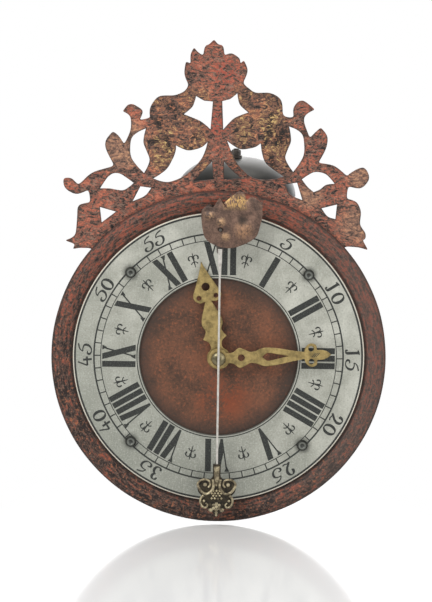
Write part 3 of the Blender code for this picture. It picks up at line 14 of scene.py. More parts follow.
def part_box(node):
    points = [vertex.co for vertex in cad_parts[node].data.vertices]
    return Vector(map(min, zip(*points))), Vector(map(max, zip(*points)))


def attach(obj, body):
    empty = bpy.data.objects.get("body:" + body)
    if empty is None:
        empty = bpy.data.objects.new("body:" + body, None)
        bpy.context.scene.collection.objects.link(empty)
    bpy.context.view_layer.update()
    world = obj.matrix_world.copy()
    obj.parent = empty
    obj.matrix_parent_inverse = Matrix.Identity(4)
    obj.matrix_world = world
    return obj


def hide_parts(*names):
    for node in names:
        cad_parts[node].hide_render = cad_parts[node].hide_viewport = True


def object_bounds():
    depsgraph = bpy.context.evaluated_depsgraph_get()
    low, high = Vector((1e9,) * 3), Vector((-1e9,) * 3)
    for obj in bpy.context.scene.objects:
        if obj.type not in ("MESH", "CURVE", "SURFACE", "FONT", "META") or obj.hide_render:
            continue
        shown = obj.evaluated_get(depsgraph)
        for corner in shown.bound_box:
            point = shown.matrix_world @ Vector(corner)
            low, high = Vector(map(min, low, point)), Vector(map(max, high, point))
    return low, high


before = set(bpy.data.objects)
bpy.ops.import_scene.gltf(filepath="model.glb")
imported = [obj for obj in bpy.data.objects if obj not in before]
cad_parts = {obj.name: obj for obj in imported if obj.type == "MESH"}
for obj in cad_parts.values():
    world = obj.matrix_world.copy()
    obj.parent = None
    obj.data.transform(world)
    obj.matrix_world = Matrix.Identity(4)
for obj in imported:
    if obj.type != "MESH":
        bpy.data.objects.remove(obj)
CAD_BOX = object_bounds()

# The clock's own frame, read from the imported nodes
MM = 0.001
GAP = 0.3
UP = math.pi / 2
TURN = 2 * math.pi
RING_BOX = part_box("chapter_ring")
CENTRE_Z = (RING_BOX[0].z + RING_BOX[1].z) / 2
TO_WORLD = (Matrix.Translation((0.0, 0.0, CENTRE_Z)) @ Matrix.Rotation(UP, 4, "X") @ Matrix.Scale(MM, 4))
TO_CLOCK = TO_WORLD.inverted()


def span(node):
    """Lowest and highest corner of a CAD node in the clock's millimetres."""
    corners = [TO_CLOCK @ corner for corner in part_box(node)]
    return Vector(map(min, *corners)), Vector(map(max, *corners))


RING_BACK, RING_FRONT = (corner.z for corner in span("chapter_ring"))
CREST_BACK, CREST_FRONT = (corner.z for corner in span("crest"))
CREST_SHEET = 1.7
PLATE_BACK = CREST_FRONT + GAP
PLATE_FRONT = RING_BACK - GAP
PLATE_RADIUS = span("dial_plate")[1].x
RIM_FRONT = span("dial_plate")[1].z
FEET_BACK = span("dial_plate")[0].z
SCREWS = [f"ring_screw_{number}" for number in range(1, 5)]


# Outlines
def polar(radius, angle, centre=(0.0, 0.0)):
    return Vector((centre[0] + radius * math.cos(angle), centre[1] + radius * math.sin(angle)))


def ring_points(radius, count, centre=(0.0, 0.0), turn=1):
    return [polar(radius, turn * TURN * i / count, centre) for i in range(count)]


def node_mesh(node):
    """A CAD node's mesh in the clock's millimetres."""
    bm = bmesh.new()
    bm.from_mesh(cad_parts[node].data)
    bmesh.ops.transform(bm, matrix=TO_CLOCK, verts=bm.verts[:])
    bmesh.ops.remove_doubles(bm, verts=bm.verts[:], dist=0.001)
    bm.normal_update()
    return bm


def chained(follow):
    """Closed loops from a table of each point's next point, longest first."""
    loops = []
    while follow:
        first, point = follow.popitem()
        loop = [first]
        while point != first:
            loop.append(point)
            point = follow.pop(point)
        loops.append(loop)
    return sorted(loops, key=len, reverse=True)


def front_loops(node, facing=0.99, depth=0.01, side=1):
    """Outlines of a CAD node's front, or of its back with side -1, with the material on their left."""
    bm = node_mesh(node)
    end = max(side * v.co.z for v in bm.verts)
    flat = {f for f in bm.faces
            if side * f.normal.z > facing and all(end - side * v.co.z < depth for v in f.verts)}
    follow = {}
    for edge in bm.edges:
        owners = [f for f in edge.link_faces if f in flat]
        if len(owners) == 1:
            corner = next(c for c in owners[0].loops if c.edge == edge)
            follow[corner.vert] = corner.link_loop_next.vert
    loops = [[v.co.xy for v in loop] for loop in chained(follow)]
    bm.free()
    return loops


def silhouette(node):
    """Outer outline of a CAD node seen from the front."""
    bm = node_mesh(node)
    points, faces = [], []
    for face in bm.faces:
        if face.normal.z > 0.05:
            faces.append(list(range(len(points), len(points) + len(face.verts))))
            points += [v.co.xy for v in face.verts]
    bm.free()
    verts, _, tris, _, _, owners = geometry.delaunay_2d_cdt(points, [], faces, 1, 1e-3)
    used = [tri for tri, owner in zip(tris, owners) if owner]
    edges = {(t[i - 1], t[i]) for t in used for i in range(len(t))}
    follow = {a: b for a, b in edges if (b, a) not in edges}
    return [verts[i] for i in chained(follow)[0]]


def middle(loop):
    return sum(loop, Vector((0.0, 0.0))) / len(loop)


def refined(loop, steps=4, corner=50.0):
    """The same outline with curves through its points; corners sharper than the limit stay."""
    count = len(loop)
    runs = [loop[(i + 1) % count] - loop[i] for i in range(count)]
    tangents = []
    for i in range(count):
        before, after = runs[i - 1], runs[i]
        if abs(before.angle_signed(after)) > math.radians(corner):
            tangents.append((before.normalized(), after.normalized()))
        else:
            a, b = before.length, after.length
            way = (before / a * b + after / b * a) / (a + b)
            tangents.append((way, way))
    out = []
    for i in range(count):
        j = (i + 1) % count
        start, end = tangents[i][1] * runs[i].length, tangents[j][0] * runs[i].length
        for k in range(steps):
            t = k / steps
            out.append(loop[i] * (1 + 2 * t) * (1 - t) ** 2 + start * t * (1 - t) ** 2
                       + loop[j] * t * t * (3 - 2 * t) + end * t * t * (t - 1))
    return out


def rounded(loop, passes=2):
    """The same outline with its corners worn a little round."""
    for _ in range(passes):
        loop = [(loop[i - 1] + spot * 2 + loop[(i + 1) % len(loop)]) / 4 for i, spot in enumerate(loop)]
    return loop


def inset(loop, by):
    """The outline moved by a distance towards the material on its left."""
    out = []
    for i, spot in enumerate(loop):
        before = (spot - loop[i - 1]).normalized()
        after = (loop[(i + 1) % len(loop)] - spot).normalized()
        normal = Vector((-before.y - after.y, before.x + after.x))
        out.append(spot + normal * by / max(0.6, 1 + before.dot(after)))
    return out


def segments(loops):
    starts = np.array([p for loop in loops for p in loop])
    ends = np.array([p for loop in loops for p in loop[1:] + loop[:1]])
    return starts, ends


def inside(points, loops):
    """Which points lie in the material, by counting the outline's crossings."""
    points = np.array(points)
    starts, ends = segments(loops)
    x, y = points[:, :1], points[:, 1:2]
    crosses = (starts[:, 1] > y) != (ends[:, 1] > y)
    rise = np.where(ends[:, 1] == starts[:, 1], 1e-9, ends[:, 1] - starts[:, 1])
    reach = starts[:, 0] + (y - starts[:, 1]) * (ends[:, 0] - starts[:, 0]) / rise
    return (crosses & (x < reach)).sum(1) % 2 == 1


def edge_distance(points, loops):
    """Distance of each point to the nearest outline."""
    points = np.array(points)
    starts, ends = segments(loops)
    run = ends - starts
    away = points[:, None, :] - starts
    along = np.clip((away * run).sum(2) / np.maximum((run * run).sum(1), 1e-12), 0, 1)
    return np.sqrt(((away - along[..., None] * run) ** 2).sum(2)).min(1)


def fill(loops, spacing):
    """Triangles of a flat shape with holes, with inner points about a spacing apart."""
    points = [p for loop in loops for p in loop]
    edges = []
    for loop in loops:
        start = len(edges)
        edges += [(start + i, start + (i + 1) % len(loop)) for i in range(len(loop))]
    if spacing:
        low, high = np.min(points, 0), np.max(points, 0)
        rows = int((high[1] - low[1]) / (spacing * 0.866)) + 1
        columns = int((high[0] - low[0]) / spacing) + 2
        grid = [(low[0] + (c - 0.5 * (r % 2)) * spacing, low[1] + r * spacing * 0.866)
                for r in range(rows) for c in range(columns)]
        keep = inside(grid, loops)
        grid = np.array(grid)[keep]
        grid = grid[edge_distance(grid, loops) > 0.5 * spacing]
        points = points + [Vector(p) for p in grid]
    verts, _, faces, sources, _, _ = geometry.delaunay_2d_cdt(points, edges, [], 1, 1e-6)
    centres = [sum((verts[i] for i in f), Vector((0.0, 0.0))) / len(f) for f in faces]
    keep = inside(centres, loops)
    where = {source: i for i, group in enumerate(sources) for source in group}
    return verts, [f for f, use in zip(faces, keep) if use], where


# Solids
def sheet(loops, back, front, bevel, spacing, relief=None, hollow=0.0):
    """Sheet with rounded edges. relief(x, y) lifts the front, and the back by the hollow share of it.
    The vertices carry their distance from the edge for the wear along it."""
    inner = [inset(loop, bevel) for loop in loops]
    verts, faces, where = fill(inner, spacing)
    lift = [relief(p.x, p.y) if relief else 0.0 for p in verts]
    bm = bmesh.new()
    wear = bm.verts.layers.float.new("edge")
    away = edge_distance(verts, loops)
    tops = [bm.verts.new((p.x, p.y, front + h)) for p, h in zip(verts, lift)]
    lows = [bm.verts.new((p.x, p.y, back + h * hollow)) for p, h in zip(verts, lift)]
    for top, low, distance in zip(tops, lows, away):
        top[wear] = distance
        low[wear] = distance
    for face in faces:
        bm.faces.new([tops[i] for i in face])
        bm.faces.new([lows[i] for i in reversed(face)])
    start = 0
    for loop in loops:
        rims = []
        for i, p in enumerate(loop):
            h = lift[where[start + i]]
            upper = bm.verts.new((p.x, p.y, front - bevel + h))
            lower = bm.verts.new((p.x, p.y, min(back + bevel, front - bevel - 0.05) + h * hollow))
            rims.append((tops[where[start + i]], upper, lower, lows[where[start + i]]))
        for here, there in zip(rims, rims[1:] + rims[:1]):
            for k in range(3):
                corners = (here[k + 1], there[k + 1], there[k], here[k])
                bm.faces.new(corners)
        start += len(loop)
    return bm


def turned(profile, steps, shift=None):
    """Solid of revolution about z from a closed (radius, height) profile; shift moves each point."""
    bm = bmesh.new()
    columns = []
    for i in range(steps):
        column = []
        for radius, height in profile:
            spot = Vector((*polar(radius, TURN * i / steps), height))
            column.append(bm.verts.new(spot + shift(spot) if shift else spot))
        columns.append(column)
    for here, there in zip(columns, columns[1:] + columns[:1]):
        for k in range(len(profile)):
            j = (k + 1) % len(profile)
            bm.faces.new((here[k], there[k], there[j], here[j]))
    bmesh.ops.remove_doubles(bm, verts=bm.verts[:], dist=0.002)
    bmesh.ops.dissolve_degenerate(bm, dist=0.0005, edges=bm.edges[:])
    return bm


def inlay(polygons, low, high):
    """Flat figures joined into one thin raised layer."""
    points, faces = [], []
    for polygon in polygons:
        area = sum(a.x * b.y - a.y * b.x for a, b in zip(polygon, polygon[1:] + polygon[:1]))
        faces.append(list(range(len(points), len(points) + len(polygon))))
        points += polygon if area > 0 else polygon[::-1]
    verts, _, tris, _, _, owners = geometry.delaunay_2d_cdt(points, [], faces, 1, 1e-5)
    bm = bmesh.new()
    spots = [bm.verts.new((p.x, p.y, low)) for p in verts]
    for tri, owner in zip(tris, owners):
        if owner:
            bm.faces.new([spots[i] for i in tri])
    bmesh.ops.delete(bm, geom=[v for v in bm.verts if not v.link_faces], context="VERTS")
    raised = bmesh.ops.extrude_face_region(bm, geom=bm.faces[:])["geom"]
    bmesh.ops.translate(bm, verts=[g for g in raised if isinstance(g, bmesh.types.BMVert)],
                        vec=(0.0, 0.0, high - low))
    return bm


def tube_along(points, radii, sides=8, squash=1.0):
    """Closed tube through points, with its own radius at each; squash flattens it along z."""
    bm = bmesh.new()
    rings = []
    for i, (spot, radius) in enumerate(zip(points, radii)):
        run = (points[min(i + 1, len(points) - 1)] - points[max(i - 1, 0)]).normalized()
        side = run.cross(Vector((0.0, 0.0, 1.0))).normalized()
        lift = side.cross(run)
        ring = []
        for k in range(sides):
            angle = TURN * k / sides
            offset = side * radius * math.cos(angle) + lift * radius * squash * math.sin(angle)
            ring.append(bm.verts.new(spot + offset))
        rings.append(ring)
    for here, there in zip(rings, rings[1:]):
        for k in range(sides):
            j = (k + 1) % sides
            bm.faces.new((here[k], here[j], there[j], there[k]))
    bm.faces.new(rings[0])
    bm.faces.new(reversed(rings[-1]))
    return bm


def moved(bm, by=(0.0, 0.0, 0.0), turn=None):
    matrix = Matrix.Translation(by)
    if turn:
        matrix = matrix @ turn
    bmesh.ops.transform(bm, matrix=matrix, verts=bm.verts[:])
    return bm


def marked(bm, value):
    """Sets the edge attribute of a body, to one value or by a rule on each place."""
    layer = bm.verts.layers.float.get("edge") or bm.verts.layers.float.new("edge")
    for vert in bm.verts:
        vert[layer] = value(vert.co) if callable(value) else value
    return bm


def together(*parts):
    """Several bodies in one mesh."""
    bm = bmesh.new()
    bm.verts.layers.float.new("edge")
    for part in parts:
        scratch = bpy.data.meshes.new("scratch")
        part.to_mesh(scratch)
        bm.from_mesh(scratch)
        part.free()
        bpy.data.meshes.remove(scratch)
    return bm


def piece(name, bm, paint, body="clock", stands_for=(), smooth=40.0):
    """Object in the frame that rides on a body, stands for CAD nodes and takes a finish."""
    bmesh.ops.transform(bm, matrix=TO_WORLD, verts=bm.verts[:])
    bmesh.ops.recalc_face_normals(bm, faces=bm.faces[:])
    mesh = bpy.data.meshes.new(name)
    bm.to_mesh(mesh)
    bm.free()
    mesh.shade_smooth()
    mesh.set_sharp_from_angle(angle=math.radians(smooth))
    mesh.materials.append(paint)
    thing = bpy.data.objects.new(name, mesh)
    bpy.context.scene.collection.objects.link(thing)
    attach(thing, body)
    if stands_for:
        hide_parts(*stands_for)
    return thing


# Paints
def tone(red, green, blue):
    """Linear colour of a screen colour from 0 to 255."""
    shares = [c / 255 for c in (red, green, blue)]
    return tuple(s / 12.92 if s <= 0.04045 else ((s + 0.055) / 1.055) ** 2.4 for s in shares) + (1.0,)


class Paint:
    """One material, with short names for its nodes. Places are the clock's millimetres."""

    def __init__(self, name, roughness=0.5, metallic=0.0, gloss=0.5):
        self.material = bpy.data.materials.new(name)
        self.material.use_nodes = True
        self.tree = self.material.node_tree
        self.shader = self.tree.nodes["Principled BSDF"]
        self.shader.inputs["Roughness"].default_value = roughness
        self.shader.inputs["Metallic"].default_value = metallic
        self.shader.inputs["Specular IOR Level"].default_value = gloss
        coords = self.add("ShaderNodeTexCoord")
        self.normal = coords.outputs["Normal"]
        self.at = self.vector("SCALE", coords.outputs["Object"], scale=1 / MM)
        split = self.add("ShaderNodeSeparateXYZ")
        self.tree.links.new(self.at, split.inputs[0])
        self.x = split.outputs["X"]
        self.depth = self.calc("MULTIPLY", split.outputs["Y"], -1.0)
        self.y = self.calc("SUBTRACT", split.outputs["Z"], CENTRE_Z / MM)

    def add(self, kind, **settings):
        node = self.tree.nodes.new(kind)
        for key, value in settings.items():
            setattr(node, key, value)
        return node

    def feed(self, socket, value):
        if isinstance(value, bpy.types.NodeSocket):
            self.tree.links.new(value, socket)
        else:
            socket.default_value = value

    def calc(self, operation, first, second=0.0, clamp=False):
        node = self.add("ShaderNodeMath", operation=operation, use_clamp=clamp)
        self.feed(node.inputs[0], first)
        self.feed(node.inputs[1], second)
        return node.outputs[0]

    def vector(self, operation, first, second=None, scale=None):
        node = self.add("ShaderNodeVectorMath", operation=operation)
        self.feed(node.inputs[0], first)
        if second is not None:
            self.feed(node.inputs[1], second)
        if scale is not None:
            self.feed(node.inputs["Scale"], scale)
        plain = operation in ("LENGTH", "DISTANCE", "DOT_PRODUCT")
        return node.outputs["Value"] if plain else node.outputs[0]

    def join(self, x, y, z):
        node = self.add("ShaderNodeCombineXYZ")
        for socket, value in zip(node.inputs, (x, y, z)):
            self.feed(socket, value)
        return node.outputs[0]

    def noise(self, scale, detail=4.0, rough=0.55, at=None, warp=0.0):
        node = self.add("ShaderNodeTexNoise")
        self.feed(node.inputs["Vector"], at or self.at)
        node.inputs["Scale"].default_value = scale
        node.inputs["Detail"].default_value = detail
        node.inputs["Roughness"].default_value = rough
        node.inputs["Distortion"].default_value = warp
        return node.outputs[0]

    def cells(self, scale, at=None, feature="F1"):
        node = self.add("ShaderNodeTexVoronoi", feature=feature)
        self.feed(node.inputs["Vector"], at or self.at)
        node.inputs["Scale"].default_value = scale
        return node.outputs["Distance"]

    def rise(self, value, low, high):
        """0 below low, 1 above high."""
        node = self.add("ShaderNodeMapRange", interpolation_type="SMOOTHSTEP")
        self.feed(node.inputs["Value"], value)
        node.inputs["From Min"].default_value = low
        node.inputs["From Max"].default_value = high
        return node.outputs[0]

    def fall(self, value, low, high):
        return self.calc("SUBTRACT", 1.0, self.rise(value, low, high))

    def both(self, first, second):
        return self.calc("MULTIPLY", first, second)

    def either(self, first, second):
        return self.calc("MAXIMUM", first, second)

    def mix(self, share, first, second, blend="MIX"):
        node = self.add("ShaderNodeMix", data_type="RGBA", blend_type=blend)
        self.feed(node.inputs["Factor"], share)
        self.feed(node.inputs[6], first)
        self.feed(node.inputs[7], second)
        return node.outputs[2]

    def ramp(self, share, *stops):
        node = self.add("ShaderNodeValToRGB")
        self.feed(node.inputs[0], share)
        elements = node.color_ramp.elements
        while len(elements) < len(stops):
            elements.new(1.0)
        for element, (place, colour) in zip(elements, stops):
            element.position = place
            element.color = colour
        return node.outputs[0]

    def spot(self, x, y, inner, outer):
        """Round mask on the front: 1 inside, 0 outside."""
        away = self.vector("DISTANCE", self.join(self.x, self.y, 0.0), (x, y, 0.0))
        return self.fall(away, inner, outer)

    def stroke(self, start, end, inner, outer):
        """Mask of a straight brush stroke on the front between two places."""
        run = Vector((end[0] - start[0], end[1] - start[1], 0.0))
        offset = self.vector("SUBTRACT", self.join(self.x, self.y, 0.0), (start[0], start[1], 0.0))
        along = self.vector("DOT_PRODUCT", offset, run / run.length_squared)
        near = self.vector("SCALE", run, scale=self.calc("MINIMUM", self.calc("MAXIMUM", along, 0.0), 1.0))
        return self.fall(self.vector("DISTANCE", offset, near), inner, outer)

    def radius(self):
        return self.vector("LENGTH", self.join(self.x, self.y, 0.0))

    def around(self, circle, across):
        """Place along a circle and across it, so that noise stretches along the circle."""
        flat = self.vector("NORMALIZE", self.join(self.x, self.y, 0.0))
        far = self.vector("SCALE", flat, scale=circle)
        return self.vector("ADD", far, self.join(0.0, 0.0, self.calc("MULTIPLY", self.radius(), across)))

    def attribute(self, name):
        node = self.add("ShaderNodeAttribute", attribute_name=name)
        return node.outputs["Fac"]

    def bump(self, height, distance, strength=1.0):
        node = self.add("ShaderNodeBump")
        node.inputs["Strength"].default_value = strength
        node.inputs["Distance"].default_value = distance * MM
        self.feed(node.inputs["Height"], height)
        self.feed(self.shader.inputs["Normal"], node.outputs[0])

    def finish(self, colour, roughness=None, metallic=None):
        self.feed(self.shader.inputs["Base Color"], colour)
        if roughness is not None:
            self.feed(self.shader.inputs["Roughness"], roughness)
        if metallic is not None:
            self.feed(self.shader.inputs["Metallic"], metallic)
        return self.material


def between(paint, share, low, high):
    """Value that runs from low to high with the share."""
    return paint.calc("ADD", paint.calc("MULTIPLY", share, high - low), low)


def blended(p, first, second, share):
    """Two noises added up, the first with the given share."""
    return p.calc("ADD", p.calc("MULTIPLY", first, share), p.calc("MULTIPLY", second, 1 - share))


def unpainted(p, back):
    """1 where the surface at rest faces the wall, and on the feet and rivets behind a sheet's back."""
    split = p.add("ShaderNodeSeparateXYZ")
    p.feed(split.inputs[0], p.normal)
    return p.either(p.rise(split.outputs["Y"], 0.2, 0.6), p.fall(p.depth, back - 0.6, back - 0.1))


def iron(name, dark, light, roughness, metallic, grain=0.12, ridge_highlight=None):
    """Forged or filed iron: cloudy tone, fine grain and rusty traces; a ridge tone paints a highlight on marked
    places.
    """
    p = Paint(name)
    cloud = p.noise(grain, 5.0, 0.6)
    fine = p.noise(grain * 9, 3.0)
    colour = p.ramp(cloud, (0.3, dark), (0.7, light))
    rust = p.both(p.rise(p.noise(grain * 1.7, 6.0, 0.65, warp=0.4), 0.56, 0.74), 0.5)
    colour = p.mix(rust, colour, tone(92, 62, 44))
    if ridge_highlight:
        colour = p.mix(p.attribute("edge"), colour, ridge_highlight)
    p.bump(p.calc("ADD", cloud, p.calc("MULTIPLY", fine, 0.35)), 0.25, 0.6)
    return p.finish(colour, between(p, fine, roughness - 0.12, roughness + 0.12),
                    between(p, rust, metallic, metallic * 0.5))


def brass(name, dark, light, roughness, stain, grain=0.2):
    """Old brass: warm tone with brown stain and fine scratches."""
    p = Paint(name)
    cloud = p.noise(grain, 5.0, 0.6)
    scratch = p.noise(1.6, 3.0, at=p.vector("MULTIPLY", p.at, (1.0, 0.3, 0.12)))
    colour = p.ramp(cloud, (0.32, dark), (0.62, light))
    stained = p.both(p.rise(p.noise(grain * 2.2, 6.0, 0.65), 0.5, 0.72), 0.6)
    colour = p.mix(stained, colour, stain)
    p.bump(blended(p, scratch, cloud, 0.5), 0.16, 0.5)
    return p.finish(colour, between(p, scratch, roughness - 0.1, roughness + 0.12), between(p, cloud, 0.7, 0.9))


def cast_brass():
    """Chased brass: dark recesses under bright ridges, worn brass with a painted highlight, marked by the edge
    attribute.
    """
    p = Paint("cast_brass")
    cloud = p.noise(0.35, 4.0, 0.6)
    fine = p.noise(1.6, 4.0, 0.65)
    ridge_highlight = p.attribute("edge")
    worn = p.calc("ADD", ridge_highlight, p.calc("MULTIPLY", p.calc("SUBTRACT", cloud, 0.5), 1.4))
    colour = p.ramp(worn, (0.0, tone(32, 29, 24)), (0.35, tone(64, 57, 44)), (0.7, tone(104, 94, 75)),
                    (1.0, tone(182, 170, 139)))
    p.bump(fine, 0.15, 0.6)
    return p.finish(colour, between(p, fine, 0.28, 0.5), between(p, cloud, 0.6, 0.85))


def painted_disc():
    """Worn red-brown paint over iron: brush strokes along the rim and a bare iron back."""
    p = Paint("painted_disc", gloss=0.25)
    radius = p.radius()
    stroke = p.noise(0.15, 3.0, 0.6, at=p.around(95.0, 4.5), warp=0.5)
    fleck = p.noise(0.5, 2.0, 0.6, warp=0.6)
    grain = blended(p, stroke, fleck, 0.6)
    low = p.fall(p.calc("ADD", p.y, p.calc("MULTIPLY", p.x, 0.45)), -110.0, 70.0)
    blot = p.both(low, p.rise(p.noise(0.055, 3.0), 0.42, 0.6))
    shaded = p.calc("SUBTRACT", grain, p.calc("MULTIPLY", p.either(p.both(low, 0.5), blot), 0.09))
    rim = p.ramp(shaded, (0.37, tone(40, 33, 31)), (0.44, tone(66, 53, 47)), (0.49, tone(94, 71, 61)),
                 (0.53, tone(118, 69, 56)), (0.6, tone(149, 81, 63)))
    dust = p.both(p.rise(p.noise(0.6, 2.0), 0.56, 0.66), 0.4)
    rim = p.mix(dust, rim, tone(128, 106, 94))
    rim = p.mix(p.both(p.rise(p.x, 40.0, 110.0), 0.45), rim, tone(92, 81, 75))
    cloud = p.noise(0.05, 4.0, 0.55)
    mottle = blended(p, cloud, fleck, 0.55)
    centre = p.ramp(mottle, (0.38, tone(74, 56, 46)), (0.5, tone(103, 71, 55)), (0.62, tone(127, 83, 62)))
    patch = p.both(p.spot(4.0, -30.0, 3.0, 30.0), p.rise(mottle, 0.42, 0.6))
    centre = p.mix(p.both(patch, 0.5), centre, tone(132, 54, 28))
    centre = p.mix(p.both(p.rise(fleck, 0.6, 0.68), 0.4), centre, tone(158, 92, 62))
    # Painted shade and dirt: the centre darkens towards the ring's inner edge.
    centre = p.mix(p.both(p.rise(radius, 43.0, 60.0), 0.8), centre, tone(60, 52, 47))
    colour = p.mix(p.rise(radius, 60.0, 100.0), centre, rim)
    sparks = p.both(p.both(low, p.rise(fleck, 0.6, 0.66)), p.rise(radius, 100.0, 108.0))
    colour = p.mix(p.both(sparks, 0.5), colour, tone(172, 112, 78))
    ragged = p.calc("ADD", p.attribute("edge"), p.calc("MULTIPLY", fleck, -1.6))
    colour = p.mix(p.both(p.fall(ragged, -0.4, 0.9), 0.7), colour, tone(46, 39, 36))
    # Painted shadow: a dark band on the disc just outside the chapter ring's edge.
    ring_edge_shadow = p.calc("ABSOLUTE", p.calc("SUBTRACT", radius, span("chapter_ring")[1].x + 1.2))
    colour = p.mix(p.both(p.fall(ring_edge_shadow, 0.2, 1.8), 0.75), colour, tone(34, 27, 24))
    bare = unpainted(p, PLATE_BACK)
    colour = p.mix(bare, colour, p.ramp(cloud, (0.3, tone(74, 68, 64)), (0.7, tone(118, 106, 97))))
    p.bump(blended(p, grain, cloud, 0.7), 0.6, 0.8)
    return p.finish(colour, between(p, fleck, 0.5, 0.8), between(p, bare, 0.1, 0.7))


DARK_LEAF_SPOTS = ((43.0, 167.0, 3.0, 12.0), (-37.8, 187.0, 1.5, 6.0), (-46.7, 175.8, 2.0, 7.0), (-19.9, 165.5, 1.0, 4.5))
LEAF_STROKES = (((37.0, 182.0), (34.9, 168.6)), ((34.9, 168.6), (30.5, 156.0)), ((45.6, 169.0), (40.5, 160.5)),
                ((35.9, 152.0), (39.0, 144.0)), ((-54.0, 160.5), (-47.5, 161.5)), ((-41.0, 163.5), (-39.5, 153.5)))


def painted_crest():
    """Brushed red paint with gold and dark strokes on the inner leaves and worn edges."""
    p = Paint("painted_crest", gloss=0.3)
    stroke = p.noise(0.34, 3.0, 0.65, at=p.vector("MULTIPLY", p.at, (0.55, 1.0, 1.0)), warp=1.4)
    fleck = p.noise(0.72, 2.0, 0.6, at=p.vector("MULTIPLY", p.at, (0.7, 1.0, 1.0)), warp=1.6)
    cloud = p.noise(0.08, 3.0, 0.55)
    grain = blended(p, blended(p, stroke, fleck, 0.62), cloud, 0.84)
    red = p.ramp(grain, (0.415, tone(32, 28, 27)), (0.465, tone(82, 65, 58)), (0.505, tone(124, 92, 77)),
                 (0.54, tone(147, 77, 61)), (0.6, tone(186, 115, 90)))
    gilt = p.ramp(grain, (0.4, tone(26, 24, 23)), (0.455, tone(66, 57, 50)), (0.505, tone(126, 86, 70)),
                  (0.55, tone(134, 106, 76)), (0.61, tone(204, 172, 114)))
    brown = p.ramp(grain, (0.4, tone(60, 50, 46)), (0.47, tone(114, 88, 76)), (0.53, tone(148, 114, 94)),
                   (0.61, tone(192, 153, 116)))
    dust = p.rise(p.noise(0.5, 2.0, at=p.vector("MULTIPLY", p.at, (0.5, 1.0, 1.2)), warp=1.0), 0.55, 0.66)
    colour = p.mix(p.both(dust, 0.45), red, tone(164, 132, 114))
    for x, y, inner, outer in ((-74.0, 158.0, 12.0, 26.0), (107.0, 138.0, 8.0, 16.0), (103.0, 101.0, 5.0, 22.0),
                               (66.0, 122.0, 4.0, 14.0)):
        colour = p.mix(p.both(p.spot(x, y, inner, outer), 0.8), colour, brown)
    height = p.both(p.rise(p.y, 132.0, 146.0), p.fall(p.y, 196.0, 208.0))
    side = p.calc("ABSOLUTE", p.calc("ADD", p.x, 1.0))
    leaves = p.both(p.both(height, p.rise(side, 6.0, 12.0)), p.fall(side, 48.0, 58.0))
    patches = between(p, p.rise(p.noise(0.07, 4.0), 0.38, 0.56), 0.35, 1.0)
    colour = p.mix(p.both(leaves, patches), colour, gilt)
    for x, y, outer in ((14.0, 139.0, 13.0), (2.0, 213.0, 15.0), (-3.0, 176.0, 16.0)):
        bright = p.both(p.spot(x, y, 3.0, outer), p.rise(grain, 0.5, 0.55))
        colour = p.mix(p.both(bright, 0.5), colour, tone(164, 60, 50))
    # Dark spots and strokes between the inner leaves.
    for x, y, inner, outer in DARK_LEAF_SPOTS:
        leaf_mark = p.both(p.spot(x, y, inner, outer), p.fall(grain, 0.46, 0.56))
        colour = p.mix(p.both(leaf_mark, 0.85), colour, tone(30, 27, 24))
    for start, end in LEAF_STROKES:
        leaf_mark = p.both(p.stroke(start, end, 0.6, 3.4), p.fall(grain, 0.48, 0.6))
        colour = p.mix(p.both(leaf_mark, 0.9), colour, tone(28, 26, 24))
    ragged = p.calc("ADD", p.attribute("edge"), p.calc("MULTIPLY", fleck, -1.4))
    worn = p.both(p.fall(ragged, -0.3, 0.5), between(p, p.rise(p.noise(0.16, 3.0), 0.36, 0.58), 0.3, 1.0))
    colour = p.mix(p.both(worn, 0.75), colour, tone(66, 58, 54))
    bare = unpainted(p, CREST_FRONT - CREST_SHEET)
    colour = p.mix(bare, colour, p.ramp(stroke, (0.3, tone(74, 68, 64)), (0.7, tone(116, 105, 96))))
    p.bump(grain, 0.6, 0.8)
    return p.finish(colour, between(p, fleck, 0.48, 0.8), between(p, p.either(worn, bare), 0.1, 0.6))


def pewter():
    """Pale worn ring metal with fine scratches, stains, and smudges and painted shade round the screws."""
    p = Paint("pewter")
    cloud = p.noise(0.05, 5.0, 0.6)
    fine = p.noise(0.8, 5.0, 0.7)
    scratch = p.noise(1.2, 3.0, at=p.vector("MULTIPLY", p.at, (1.0, 1.0, 0.08)), warp=0.2)
    colour = p.ramp(cloud, (0.34, tone(151, 152, 141)), (0.5, tone(169, 169, 158)), (0.66, tone(187, 187, 176)))
    # Painted shade: the ring is darker towards the lower left.
    low = p.fall(p.calc("ADD", p.y, p.calc("MULTIPLY", p.x, 0.6)), -130.0, 40.0)
    colour = p.mix(p.both(low, 0.65), colour, tone(136, 139, 129))
    colour = p.mix(p.both(p.rise(fine, 0.53, 0.66), 0.55), colour, tone(122, 125, 116))
    colour = p.mix(p.both(p.fall(fine, 0.36, 0.47), 0.4), colour, tone(208, 210, 200))
    colour = p.mix(p.both(p.rise(scratch, 0.6, 0.72), 0.35), colour, tone(206, 206, 194))
    # Painted shade and smudges round each screw.
    for node in SCREWS:
        low, high = span(node)
        screw_shade_and_smudge = p.spot((low.x + high.x) / 2, (low.y + high.y) / 2, 3.5, 8.0)
        colour = p.mix(p.both(screw_shade_and_smudge, 0.7), colour, tone(80, 82, 75))
    low, high = span("chapter_ring")
    # Painted highlight: a pale band along the ring's outer edge.
    colour = p.mix(p.both(p.rise(p.radius(), high.x - 1.1, high.x - 0.7), 0.9), colour, tone(220, 214, 198))
    colour = p.mix(p.both(p.fall(p.radius(), 59.5, 59.9), 0.85), colour, tone(52, 49, 44))
    p.bump(blended(p, fine, scratch, 0.5), 0.12, 0.5)
    return p.finish(colour, between(p, fine, 0.34, 0.55), between(p, cloud, 0.25, 0.45))


def ink():
    """Black filling of the engraved figures, rubbed thin in places."""
    p = Paint("ring_ink", 0.6)
    fine = p.noise(1.1, 5.0, 0.7)
    colour = p.ramp(fine, (0.38, tone(14, 16, 14)), (0.52, tone(26, 28, 25)), (0.64, tone(70, 74, 67)))
    p.bump(fine, 0.05, 0.4)
    return p.finish(colour, between(p, fine, 0.45, 0.7))


